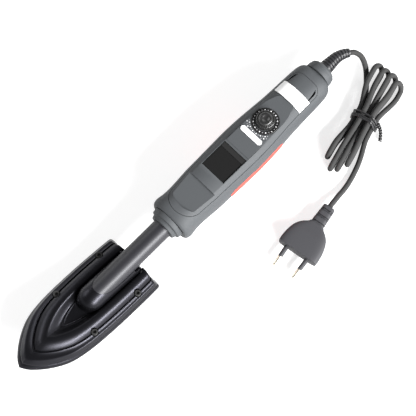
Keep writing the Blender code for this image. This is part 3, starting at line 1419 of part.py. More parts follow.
LEAD_IN_ROUTE = (
    (31.9, -11.6, 14.8), (31.5, -16.2, 11.2), (28.9, -21.4, 7.6), (24.7, -26.2, 5.0),
    (19.5, -31.0, 3.7), (13.7, -35.6, 3.2),
)
LEAD_OUT_ROUTE = (
    (-20.9, -65.2, 2.4), (-26.5, -68.2, 2.3), (-33.4, -71.4, 2.3), (-40.9, -74.0, 2.3),
    (-49.3, -76.4, 2.4), (-57.7, -77.9, 3.2), (-65.1, -78.5, 4.8),
)


def run_in(points):
    """The direction in which a list of points sets out."""
    return (points[1] - points[0]).normalized()


def make_cord():
    """The lead-in, the hank, the lead-out and the tie."""
    hank = hank_points()
    print(f"least gap of the hank to itself: {least_gap(hank, CORD_RADIUS) / MM:.2f} mm")
    poly_tube("cord_hank", hank, CORD_RADIUS, "cord_black", 1)
    tip, direction = relief_frame(RELIEF_LENGTH)
    first = tip + direction * GAP
    into = run_in(hank)
    last = hank[0] - into * GAP
    route = [first, first + direction * 2 * CORD_RADIUS]
    route += [cord_spot(*Vector(point) * MM) for point in LEAD_IN_ROUTE]
    route += [last - into * 2 * CORD_RADIUS, last]
    line = smooth_route(route, 5 * CORD_RADIUS)
    poly_tube("cord_lead_in", line, CORD_RADIUS, "cord_black", CORD_ROUND_STEPS)
    out = -run_in(hank[::-1])
    first = hank[-1] + out * GAP
    back = plug_axis()
    end = plug_point(PLUG_LENGTH + PLUG_RELIEF_LENGTH + GAP, 0.0, 0.0)
    route = [first, first + out * 2 * CORD_RADIUS]
    route += [cord_spot(*Vector(point) * MM) for point in LEAD_OUT_ROUTE]
    route += [end + back * 2 * CORD_RADIUS, end]
    line = smooth_route(route, 5 * CORD_RADIUS)
    poly_tube("cord_lead_out", line, CORD_RADIUS, "cord_black", CORD_ROUND_STEPS)


def hull(points):
    """The convex outline round points in a plane, in order."""
    ordered = sorted(points)
    line = []
    for half in (ordered, ordered[::-1]):
        side = []
        for point in half:
            while len(side) > 1:
                (ax, ay), (bx, by) = side[-2:]
                if (bx - ax) * (point[1] - ay) - (by - ay) * (point[0] - ax) > 0.0:
                    break
                side.pop()
            side.append(point)
        line += side[:-1]
    return line


def strap_outline(grow):
    """The line round all runs at the waist, as far outside them as asked."""
    radius = CORD_RADIUS + grow
    points = []
    for column in range(HANK_FINGERS + 1):
        for layer in range(2 if column < HANK_FINGERS else 1):
            across = (column - HANK_FINGERS / 2) * HANK_WAIST_PITCH
            height = hank_column(0.0, column, layer).z
            for step in range(SMALL_ROUND):
                angle = math.tau * step / SMALL_ROUND
                points.append((across + radius * math.cos(angle), height + radius * math.sin(angle)))
    return hull(points)


def make_tie():
    """The strap round the hank's waist."""
    bodies = []
    for grow, half in ((GAP + TIE_THICKNESS, TIE_WIDTH / 2), (GAP, TIE_WIDTH / 2 + OVERRUN)):
        outline = strap_outline(grow)
        bodies.append(loft("strap", [[hank_place(u, v, z) for v, z in outline] for u in (-half, half)]))
    strap = add_object("cord_tie", bodies[0], "cord_black")
    combine(strap, tool("cut_tie", bodies[1]))


# Plug

def plug_axis():
    """The direction from the plug's face back along its cord."""
    return Vector((math.cos(PLUG_TURN), math.sin(PLUG_TURN), 0.0))


def plug_point(back, side, up):
    """A point of the plug, from its face back, to its side and above its middle."""
    across = Vector((-math.sin(PLUG_TURN), math.cos(PLUG_TURN), 0.0))
    centre = cord_spot(*PLUG_FACE, PLUG_THICKNESS / 2)
    return centre + plug_axis() * back + across * side + Vector((0.0, 0.0, up))


def plug_ring(back, half_width, half_height, power):
    """A rounded section of the plug."""
    ring = []
    for step in range(PLUG_SIDES):
        angle = math.tau * step / PLUG_SIDES
        across, rise = math.cos(angle), math.sin(angle)
        side = half_width * math.copysign(abs(across) ** (2 / power), across)
        up = half_height * math.copysign(abs(rise) ** (2 / power), rise)
        ring.append(plug_point(back, side, up))
    return ring


def pin_line(side, start, stop):
    """Two points on a pin's axis, which leans a little towards the other pin."""
    lean = math.tan(PIN_CONVERGE)
    return [
        plug_point(-along, side * (PIN_SPACING / 2 - along * lean), 0.0)
        for along in (start, stop)
    ]


def make_plug():
    """The plug's body, its relief, and two pins with sleeves."""
    rings = []
    for back_share, width_share in PLUG_SHARES:
        height_share = 0.93 if back_share == 0.0 else 1.0 - 0.22 * smooth_step((back_share - 0.55) / 0.45)
        half_width = max(PLUG_WIDTH / 2 * width_share, PLUG_RELIEF_RADIUS)
        half_height = PLUG_THICKNESS / 2 * height_share
        rings.append(plug_ring(PLUG_LENGTH * back_share, half_width, half_height, PLUG_POWER))
    body = add_object("plug_body", loft("plug_body", rings), "plug_black")
    stations = []
    ribs = 5
    rib = PLUG_RELIEF_LENGTH / (ribs + 0.5)
    centre = plug_point(PLUG_LENGTH + GAP, 0.0, 0.0)
    stations.append((centre, plug_axis(), PLUG_RELIEF_RADIUS))
    for index in range(ribs):
        for place_share, depth_share in ((0.45, 0.0), (0.55, 1.0), (0.85, 1.0), (0.95, 0.0)):
            along = GAP + rib * (index + place_share)
            depth = RELIEF_RIB_DEPTH * depth_share
            centre = plug_point(PLUG_LENGTH + along, 0.0, 0.0)
            stations.append((centre, plug_axis(), PLUG_RELIEF_RADIUS - depth))
    end = plug_point(PLUG_LENGTH + PLUG_RELIEF_LENGTH, 0.0, 0.0)
    stations.append((end, plug_axis(), PLUG_RELIEF_RADIUS))
    add_object("plug_relief", swept("plug_relief", stations, RELIEF_SIDES), "plug_black")
    for side, name in ((1, "left"), (-1, "right")):
        bore = pin_line(side, -PIN_SOCKET_DEPTH, OVERRUN)
        combine(body, tool(f"cut_pin_{name}", swept("bore", between(bore, PIN_RADIUS + GAP), SMALL_ROUND)))
        sleeve = pin_line(side, -PIN_SOCKET_DEPTH + GAP, PIN_SLEEVE_LENGTH)
        data = swept("pin_sleeve", between(sleeve, PIN_SLEEVE_RADIUS), SMALL_ROUND)
        add_object(f"plug_pin_sleeve_{name}", data, "plug_black")
        first, last = pin_line(side, PIN_SLEEVE_LENGTH + GAP, PIN_LENGTH)
        direction = (last - first).normalized()
        stations = [
            (first, direction, PIN_RADIUS),
            (last - direction * PIN_RADIUS, direction, PIN_RADIUS),
            (last - direction * PIN_RADIUS / 3, direction, PIN_RADIUS * 0.78),
            (last, direction, PIN_RADIUS * 0.35),
        ]
        add_object(f"plug_pin_{name}", swept("plug_pin", stations, SMALL_ROUND), "pin_nickel")


def between(line, radius):
    """Two round stations at the ends of a line."""
    first, last = line
    direction = (last - first).normalized()
    return [(first, direction, radius), (last, direction, radius)]


def main():
    """Builds the iron, piece by piece."""
    clear_scene()
    make_sole()
    make_cover()
    make_shoe_screws()
    make_heater()
    make_tube()
    make_leads()
    make_nose_ring()
    make_bracket()
    make_lower_shell()
    make_upper_shell()
    make_handle_screws()
    make_inlays()
    make_display()
    make_fascia()
    make_label()
    pot_floor = make_board()
    make_dial(pot_floor)
    make_rear()
    make_cord()
    make_tie()
    make_plug()


main()
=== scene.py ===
"""A sealing iron lying on a pale floor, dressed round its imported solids."""

import json
import logging
import math
from dataclasses import dataclass
from enum import Enum
from typing import Callable, Iterable, Sequence

import bmesh
import bpy
from mathutils import Matrix, Quaternion, Vector

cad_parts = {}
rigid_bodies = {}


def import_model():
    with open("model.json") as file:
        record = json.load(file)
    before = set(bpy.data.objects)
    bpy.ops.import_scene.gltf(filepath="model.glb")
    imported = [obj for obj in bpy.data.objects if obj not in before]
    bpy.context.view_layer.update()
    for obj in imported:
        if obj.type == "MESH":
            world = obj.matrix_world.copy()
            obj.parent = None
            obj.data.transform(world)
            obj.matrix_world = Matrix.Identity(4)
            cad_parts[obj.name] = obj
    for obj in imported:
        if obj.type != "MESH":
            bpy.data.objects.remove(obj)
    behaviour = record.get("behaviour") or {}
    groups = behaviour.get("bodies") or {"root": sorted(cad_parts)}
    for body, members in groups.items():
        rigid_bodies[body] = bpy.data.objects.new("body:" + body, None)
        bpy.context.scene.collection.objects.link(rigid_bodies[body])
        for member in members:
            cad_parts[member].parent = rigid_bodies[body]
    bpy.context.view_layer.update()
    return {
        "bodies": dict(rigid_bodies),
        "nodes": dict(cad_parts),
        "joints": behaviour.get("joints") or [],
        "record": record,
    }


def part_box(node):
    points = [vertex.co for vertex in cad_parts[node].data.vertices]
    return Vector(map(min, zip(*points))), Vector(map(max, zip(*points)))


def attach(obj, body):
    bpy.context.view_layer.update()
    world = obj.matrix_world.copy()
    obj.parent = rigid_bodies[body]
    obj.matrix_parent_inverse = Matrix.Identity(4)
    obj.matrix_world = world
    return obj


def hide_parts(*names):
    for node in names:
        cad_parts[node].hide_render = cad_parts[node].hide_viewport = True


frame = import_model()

MM = 0.001
LOG = logging.getLogger("sealing_iron")
# The front of the handle, from the shoe's heel, and the heel in the frame of the solids.
HANDLE_FRONT = 39.0 * MM
HEEL_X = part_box("lower_shell")[0].x - HANDLE_FRONT
# The height of the shaft's axis over the floor.
AXIS_HEIGHT = 22.0 * MM
# The room between two pieces, and how far a cut reaches past what it cuts.
GAP = 0.3 * MM
CLEAR = 5.0 * MM
# An edge that bends by more than this stays sharp, and points nearer than this are merged.
CREASE = math.radians(34.0)
MERGE = 0.001 * MM
# The slack with which places in a table are compared.
NEAR = 1e-9
# Finer layers of the coarse and the fine noise, and the range that their sum mostly keeps to.
CLOUD_DETAIL = 3.0
GRAIN_DETAIL = 4.0
NOISE_LOW = 0.6
NOISE_HIGH = 1.4
LEAST_ROUGHNESS = 0.02
# The most of a side that the rounding of one corner takes.
LONGEST_EASE = 0.45

Colour = tuple[float, float, float]
Point = tuple[float, float, float]
Table = Sequence[Sequence[float]]


class Texture(Enum):
    """How the fine relief of a finish runs."""

    EVEN = (1.0, 1.0, 1.0)
    ALONG = (0.08, 1.0, 1.0)


def reckoned(
    tree: bpy.types.NodeTree, way: str, first: bpy.types.NodeSocket, second: bpy.types.NodeSocket,
) -> bpy.types.NodeSocket:
    """Adds a node that reckons with two values.

    Args:
        tree: the node tree.
        way: how it reckons.
        first: the first value.
        second: the second value.

    Returns:
        The result.
    """
    node = tree.nodes.new("ShaderNodeMath")
    node.operation = way
    tree.links.new(first, node.inputs[0])
    tree.links.new(second, node.inputs[1])
    return node.outputs["Value"]


@dataclass(frozen=True)
class Finish:
    """One finish of the iron, built as a node material."""

    name: str
    colour: Colour
    roughness: float
    metallic: float = 0.0
    specular: float = 0.5
    coat: float = 0.0
    coat_roughness: float = 0.08
    grain: float = 0.5 * MM
    depth: float = 0.01 * MM
    cloud: float = 14.0 * MM
    unevenness: float = 0.05
    shade: float = 0.12
    texture: Texture = Texture.EVEN

    def material(self) -> bpy.types.Material:
        """Makes the material, or finds it.

        Returns:
            The material of this finish.
        """
        made = bpy.data.materials.get(self.name)
        if made:
            return made
        made = bpy.data.materials.new(self.name)
        made.use_nodes = True
        tree = made.node_tree
        shader = tree.nodes["Principled BSDF"]
        shader.inputs["Metallic"].default_value = self.metallic
        shader.inputs["Specular IOR Level"].default_value = self.specular
        shader.inputs["Coat Weight"].default_value = self.coat
        shader.inputs["Coat Roughness"].default_value = self.coat_roughness
        place = tree.nodes.new("ShaderNodeTexCoord")
        stretch = tree.nodes.new("ShaderNodeMapping")
        stretch.inputs["Scale"].default_value = self.texture.value
        tree.links.new(place.outputs["Object"], stretch.inputs["Vector"])
        clouds = self._noise(tree, place.outputs["Object"], self.cloud, CLOUD_DETAIL)
        grains = self._noise(tree, stretch.outputs["Vector"], self.grain, GRAIN_DETAIL)
        self._shade(tree, clouds, shader)
        self._roughen(tree, clouds, grains, shader)
        bump = tree.nodes.new("ShaderNodeBump")
        bump.inputs["Distance"].default_value = self.depth
        tree.links.new(grains, bump.inputs["Height"])
        tree.links.new(bump.outputs["Normal"], shader.inputs["Normal"])
        return made

    def _noise(
        self, tree: bpy.types.NodeTree, source: bpy.types.NodeSocket, size: float, detail: float,
    ) -> bpy.types.NodeSocket:
        """Adds a noise.

        Args:
            tree: the node tree.
            source: the coordinates it reads.
            size: the size of its largest grains.
            detail: how many finer layers it has.

        Returns:
            The noise's value.
        """
        noise = tree.nodes.new("ShaderNodeTexNoise")
        noise.inputs["Scale"].default_value = 1.0 / size
        noise.inputs["Detail"].default_value = detail
        tree.links.new(source, noise.inputs["Vector"])
        return noise.outputs["Fac"]

    def _shade(self, tree: bpy.types.NodeTree, clouds: bpy.types.NodeSocket, shader: bpy.types.Node) -> None:
        """Varies the colour a little in soft clouds.

        Args:
            tree: the node tree.
            clouds: the coarse noise.
            shader: the shader that gets the colour.
        """
        mix = tree.nodes.new("ShaderNodeMix")
        mix.data_type = "RGBA"
        mix.inputs["A"].default_value = (*[part * (1.0 - self.shade) for part in self.colour], 1.0)
        mix.inputs["B"].default_value = (*[min(part * (1.0 + self.shade), 1.0) for part in self.colour], 1.0)
        tree.links.new(clouds, mix.inputs["Factor"])
        tree.links.new(mix.outputs["Result"], shader.inputs["Base Color"])

    def _roughen(
        self, tree: bpy.types.NodeTree, clouds: bpy.types.NodeSocket, grains: bpy.types.NodeSocket,
        shader: bpy.types.Node,
    ) -> None:
        """Varies the roughness with the clouds and the grain.

        Args:
            tree: the node tree.
            clouds: the coarse noise.
            grains: the fine noise.
            shader: the shader that gets the roughness.
        """
        spread = tree.nodes.new("ShaderNodeMapRange")
        spread.inputs["From Min"].default_value = NOISE_LOW
        spread.inputs["From Max"].default_value = NOISE_HIGH
        spread.inputs["To Min"].default_value = max(self.roughness - self.unevenness, LEAST_ROUGHNESS)
        spread.inputs["To Max"].default_value = min(self.roughness + self.unevenness, 1.0)
        tree.links.new(reckoned(tree, "ADD", clouds, grains), spread.inputs["Value"])
        tree.links.new(spread.outputs["Result"], shader.inputs["Roughness"])


SHOE_BLACK = Finish(
    "shoe_black", (0.007, 0.007, 0.008), 0.12, specular=1.0, coat=1.0, coat_roughness=0.05,
    grain=1.6 * MM, depth=0.002 * MM, unevenness=0.03,
)
TUBE_BLACK = Finish(
    "tube_black", (0.007, 0.007, 0.008), 0.12, specular=0.8, coat=1.0, coat_roughness=0.04,
    grain=2.2 * MM, depth=0.001 * MM, unevenness=0.03,
)
SOLE_METAL = Finish("sole_metal", (0.02, 0.02, 0.021), 0.3, specular=0.6, grain=0.6 * MM, depth=0.004 * MM)
SCREW_BLACK = Finish("screw_black", (0.02, 0.02, 0.021), 0.32, 0.7, grain=0.3 * MM)
STEEL = Finish("steel", (0.6, 0.6, 0.6), 0.3, 1.0, grain=0.3 * MM, depth=0.004 * MM)
CERAMIC = Finish("ceramic", (0.75, 0.72, 0.66), 0.6)
HANDLE_GREY = Finish(
    "handle_grey", (0.027, 0.0275, 0.03), 0.48, grain=0.35 * MM, depth=0.03 * MM, unevenness=0.06,
)
WINDOW_BLACK = Finish(
    "window_black", (0.004, 0.004, 0.006), 0.08, grain=6.0 * MM, depth=0.002 * MM, unevenness=0.02,
)
KNOB_BLACK = Finish("knob_black", (0.01, 0.01, 0.011), 0.22, grain=0.4 * MM, depth=0.006 * MM)
INLAY_RED = Finish("inlay_red", (0.9, 0.07, 0.05), 0.42, grain=0.5 * MM, depth=0.02 * MM)
BADGE_WHITE = Finish("badge_white", (0.82, 0.82, 0.83), 0.35, grain=0.8 * MM, depth=0.003 * MM, shade=0.03)
LABEL_WHITE = Finish("label_white", (0.85, 0.85, 0.85), 0.4, grain=0.8 * MM, depth=0.006 * MM, shade=0.02)
BOARD_GREEN = Finish("board_green", (0.02, 0.12, 0.05), 0.5)
COMPONENT_DARK = Finish("component_dark", (0.03, 0.03, 0.03), 0.45)
WIRE_RED = Finish("wire_red", (0.5, 0.02, 0.02), 0.5)
CORD_BLACK = Finish("cord_black", (0.012, 0.012, 0.014), 0.3, grain=0.9 * MM, depth=0.012 * MM)
RELIEF_BLACK = Finish("relief_black", (0.014, 0.014, 0.016), 0.38, grain=0.6 * MM, depth=0.012 * MM)
TIE_BLACK = Finish("tie_black", (0.01, 0.01, 0.011), 0.35, grain=0.5 * MM, depth=0.01 * MM)
MARK_GREY = Finish("mark_grey", (0.22, 0.22, 0.23), 0.5, grain=0.3 * MM, depth=0.004 * MM)
PLUG_BLACK = Finish("plug_black", (0.016, 0.016, 0.018), 0.42, grain=0.4 * MM, depth=0.03 * MM)
PIN_NICKEL = Finish(
    "pin_nickel", (0.8, 0.7, 0.58), 0.22, 1.0, grain=0.3 * MM, depth=0.003 * MM, texture=Texture.ALONG,
)


def spot(x: float, y: float, z: float) -> Vector:
    """A point given from the shoe's heel, in the frame of the solids."""
    return Vector((x + HEEL_X, y, z))


def smooth_step(value: float) -> float:
    """Eases from 0 to 1."""
    value = min(max(value, 0.0), 1.0)
    return value * value * (3.0 - 2.0 * value)


class Cut(Enum):
    """How one solid changes another."""

    ADD = "UNION"
    TAKE = "DIFFERENCE"
    KEEP = "INTERSECT"


def share_at(shares: Table, at: float) -> list[float]:
    """Reads a table of shares along a smooth curve through its rows.

    Args:
        shares: rows of a place and its values.
        at: the place to read.

    Returns:
        The values there.
    """
    last = len(shares) - 1
    index = max(i for i in range(last) if shares[i][0] <= at + NEAR)
    before, here, there, beyond = (shares[min(max(i, 0), last)] for i in range(index - 1, index + 3))
    span = there[0] - here[0]
    part = min(max((at - here[0]) / span, 0.0), 1.0)
    values = []
    for column in range(1, len(here)):
        slope = (there[column] - here[column]) / span
        left = slope if index == 0 else (there[column] - before[column]) / (there[0] - before[0])
        right = slope if index + 1 == last else (beyond[column] - here[column]) / (beyond[0] - here[0])
        square, cube = part * part, part ** 3
        values.append(
            here[column] * (2 * cube - 3 * square + 1)
            + left * span * (cube - 2 * square + part)
            + there[column] * (3 * square - 2 * cube)
            + right * span * (cube - square)
        )
    return values


def through(points: Sequence[Vector], steps: int = 10) -> list[Vector]:
    """A smooth curve through a few points.

    Args:
        points: the points, in order.
        steps: how many steps lie between two of them.

    Returns:
        The curve's points.
    """
    fine: list[Vector] = []
    for index in range(len(points) - 1):
        before = points[max(index - 1, 0)]
        here, there = points[index], points[index + 1]
        beyond = points[min(index + 2, len(points) - 1)]
        for step in range(steps):
            t = step / steps
            fine.append(0.5 * (
                2 * here + (there - before) * t
                + (2 * before - 5 * here + 4 * there - beyond) * t ** 2
                + (3 * here - before - 3 * there + beyond) * t ** 3
            ))
    fine.append(points[-1])
    return fine


def eased(profile: Table, reach: float, steps: int = 3) -> list[tuple[float, ...]]:
    """Rounds the inner corners of a profile.

    Args:
        profile: its points.
        reach: how far the rounding reaches from each corner.
        steps: how many steps a corner takes.

    Returns:
        The points of the rounded profile.
    """
    points = [Vector(point) for point in profile]
    done = [tuple(points[0])]
    for before, here, after in zip(points, points[1:], points[2:]):
        back, forth = before - here, after - here
        cut = min(reach, back.length * LONGEST_EASE, forth.length * LONGEST_EASE)
        first = here + back.normalized() * cut
        last = here + forth.normalized() * cut
        for step in range(steps + 1):
            t = step / steps
            done.append(tuple((1 - t) ** 2 * first + 2 * t * (1 - t) * here + t * t * last))
    done.append(tuple(points[-1]))
    return done


def skin(
    columns: int, rows: int, place: Callable[[float, float], Vector], capped: bool = True,
) -> bmesh.types.BMesh:
    """Bends a grid into a closed skin.

    Args:
        columns: steps round the shape.
        rows: steps along it.
        place: gives the point at a share round and a share along.
        capped: whether the open ends are filled.

    Returns:
        The mesh, with its seams merged.
    """
    bm = bmesh.new()
    bmesh.ops.create_grid(bm, x_segments=columns, y_segments=rows, size=0.5)
    for vert in bm.verts:
        vert.co = place(vert.co.x + 0.5, vert.co.y + 0.5)
    bmesh.ops.remove_doubles(bm, verts=bm.verts, dist=MERGE)
    if capped:
        bmesh.ops.holes_fill(bm, edges=[edge for edge in bm.edges if edge.is_boundary], sides=0)
    bmesh.ops.recalc_face_normals(bm, faces=bm.faces)
    return bm


def turned(profile: Table, steps: int = 96, closed: bool = False) -> bmesh.types.BMesh:
    """Turns a profile of (x, radius) points about the X axis.

    Args:
        profile: the points, along the axis and away from it.
        steps: how many steps the turn takes.
        closed: whether the profile closes on itself, as for a ring.

    Returns:
        The turned mesh.
    """
    bm = bmesh.new()
    verts = [bm.verts.new((along, 0.0, radius)) for along, radius in profile]
    edges = [bm.edges.new(pair) for pair in zip(verts, verts[1:])]
    if closed:
        edges.append(bm.edges.new((verts[-1], verts[0])))
    bmesh.ops.spin(
        bm, geom=verts + edges, cent=(0.0, 0.0, 0.0), axis=(1.0, 0.0, 0.0),
        angle=math.tau, steps=steps, use_merge=True,
    )
    bmesh.ops.remove_doubles(bm, verts=bm.verts, dist=MERGE)
    bmesh.ops.recalc_face_normals(bm, faces=bm.faces)
    return bm


def moved(bm: bmesh.types.BMesh, matrix: Matrix) -> bmesh.types.BMesh:
    """Moves a mesh, and returns it."""
    bmesh.ops.transform(bm, matrix=matrix, verts=bm.verts)
    return bm


def upright(place: Vector) -> Matrix:
    """Stands a shape turned about X up at a place."""
    return Matrix.Translation(place) @ Matrix.Rotation(-math.pi / 2, 4, "Y")


def block(low: Sequence[float], high: Sequence[float]) -> bmesh.types.BMesh:
    """A plain block between two corners.

    Args:
        low: its lowest corner.
        high: its highest corner.

    Returns:
        The block's mesh.
    """
    bm = bmesh.new()
    bmesh.ops.create_cube(bm, size=1.0)
    low, high = Vector(low), Vector(high)
    size = Matrix.Diagonal((*(high - low), 1.0))
    return moved(bm, Matrix.Translation((low + high) / 2) @ size)


def rod(
    radius: float, low: float, high: float, place: Sequence[float], sides: int = 48,
) -> bmesh.types.BMesh:
    """An upright round bar.

    Args:
        radius: its radius.
        low: the height of its foot.
        high: the height of its top.
        place: its place in plan.
        sides: how many sides it has.

    Returns:
        The bar's mesh.
    """
    bm = bmesh.new()
    bmesh.ops.create_cone(
        bm, cap_ends=True, segments=sides, radius1=radius, radius2=radius, depth=high - low,
    )
    return moved(bm, Matrix.Translation((place[0], place[1], (low + high) / 2)))


def prism(outline: Table, low: float, high: float) -> bmesh.types.BMesh:
    """Draws a closed outline in plan up from low to high.

    Args:
        outline: the outline's points, in order.
        low: the height of its foot.
        high: the height of its top.

    Returns:
        The prism's mesh.
    """
    bm = bmesh.new()
    face = bm.faces.new([bm.verts.new((*point, low)) for point in outline])
    drawn = bmesh.ops.extrude_face_region(bm, geom=[face])["geom"]
    top = [part for part in drawn if isinstance(part, bmesh.types.BMVert)]
    bmesh.ops.translate(bm, vec=(0.0, 0.0, high - low), verts=top)
    bmesh.ops.recalc_face_normals(bm, faces=bm.faces)
    return bm


def joined(parts: Iterable[bmesh.types.BMesh]) -> bmesh.types.BMesh:
    """Puts several meshes that don't meet into one.

    Args:
        parts: the meshes, which are freed.

    Returns:
        The one mesh.
    """
    whole = bmesh.new()
    for part in parts:
        data = bpy.data.meshes.new("part")
        part.to_mesh(data)
        part.free()
        whole.from_mesh(data)
        bpy.data.meshes.remove(data)
    return whole


def loose_object(name: str, bm: bmesh.types.BMesh) -> bpy.types.Object:
    """Links a mesh into the scene as an object for a moment.

    Args:
        name: the object's name.
        bm: its mesh, which is freed.

    Returns:
        The object.
    """
    data = bpy.data.meshes.new(name)
    bm.to_mesh(data)
    bm.free()
    made = bpy.data.objects.new(name, data)
    bpy.context.scene.collection.objects.link(made)
    return made


def laid_curve(
    name: str, strands: Iterable[Sequence[Vector]], radius: float, rounding: int, finish: Finish,
) -> bpy.types.Object:
    """Lays strands of a round section along lines.

    Args:
        name: the object's name.
        strands: the line of each strand.
        radius: the strands' radius.
        rounding: how finely the section is rounded.
        finish: the finish they get.

    Returns:
        The curve's object.
    """
    curve = bpy.data.curves.new(name, "CURVE")
    curve.dimensions = "3D"
    curve.bevel_depth = radius
    curve.bevel_resolution = rounding
    curve.use_fill_caps = True
    for strand in strands:
        line = curve.splines.new("POLY")
        line.points.add(len(strand) - 1)
        for target, point in zip(line.points, strand):
            target.co = (*point, 1.0)
        line.use_smooth = True
    made = bpy.data.objects.new(name, curve)
    bpy.context.scene.collection.objects.link(made)
    curve.materials.append(finish.material())
    return made


def carved(base: bmesh.types.BMesh, *tools: tuple[Cut, bmesh.types.BMesh]) -> bmesh.types.BMesh:
    """Cuts, joins or keeps a mesh with others, one after another.

    Args:
        base: the mesh to change.
        tools: each a way to change it and the mesh to do it with.

    Returns:
        The changed mesh.
    """
    body = loose_object("body", base)
    others = []
    for way, tool in tools:
        other = loose_object("tool", tool)
        change = body.modifiers.new("change", "BOOLEAN")
        change.operation = way.value
        change.solver = "EXACT"
        change.object = other
        others.append(other)
    bpy.context.view_layer.update()
    seen = body.evaluated_get(bpy.context.evaluated_depsgraph_get())
    result = bmesh.new()
    result.from_mesh(seen.to_mesh())
    seen.to_mesh_clear()
    for made in [body, *others]:
        data = made.data
        bpy.data.objects.remove(made)
        bpy.data.meshes.remove(data)
    bmesh.ops.remove_doubles(result, verts=result.verts, dist=MERGE)
    bmesh.ops.dissolve_degenerate(result, edges=result.edges, dist=MERGE)
    return result


def add_piece(
    name: str,
    bm: bmesh.types.BMesh,
    finish: Finish,
    nodes: Sequence[str] = (),
    body: str = "iron",
    bevel: float = 0.0,
) -> bpy.types.Object:
    """Turns a mesh into a piece that rides on a body.

    Args:
        name: the piece's name.
        bm: its mesh, in place.
        finish: the finish it gets.
        nodes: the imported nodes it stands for.
        body: the body it rides on.
        bevel: how wide its sharp edges are broken.

    Returns:
        The piece.
    """
    made = loose_object(name, bm)
    made.data.shade_smooth()
    made.data.set_sharp_from_angle(angle=CREASE)
    made.data.materials.append(finish.material())
    if bevel:
        edge = made.modifiers.new("edge", "BEVEL")
        edge.width = bevel
        edge.segments = 2
        edge.limit_method = "ANGLE"
        edge.angle_limit = CREASE
        edge.use_clamp_overlap = True
        edge.harden_normals = True
    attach(made, body)
    if nodes:
        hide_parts(*nodes)
    LOG.info("%s: %d faces", name, len(made.data.polygons))
    return made


def dress(node: str, finish: Finish) -> None:
    """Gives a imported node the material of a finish.

    Args:
        node: the node's name.
        finish: the finish it gets.
    """
    piece = frame["nodes"][node]
    piece.data.materials.clear()
    piece.data.materials.append(finish.material())


@dataclass(frozen=True)
class Lamp:
    """A soft rectangular lamp, whose face is as bright as white at a radiance of 1."""

    name: str
    place: Point
    aim: Point
    size: tuple[float, float]
    radiance: float

    def hang(self) -> None:
        """Hangs the lamp in the studio."""
        data = bpy.data.lights.new(self.name, "AREA")
        data.shape = "RECTANGLE"
        data.size, data.size_y = self.size
        data.energy = self.radiance * math.pi * self.size[0] * self.size[1]
        lamp = bpy.data.objects.new(self.name, data)
        lamp.location = self.place
        lamp.rotation_euler = (Vector(self.aim) - Vector(self.place)).to_track_quat("-Z", "Y").to_euler()
        bpy.context.scene.collection.objects.link(lamp)


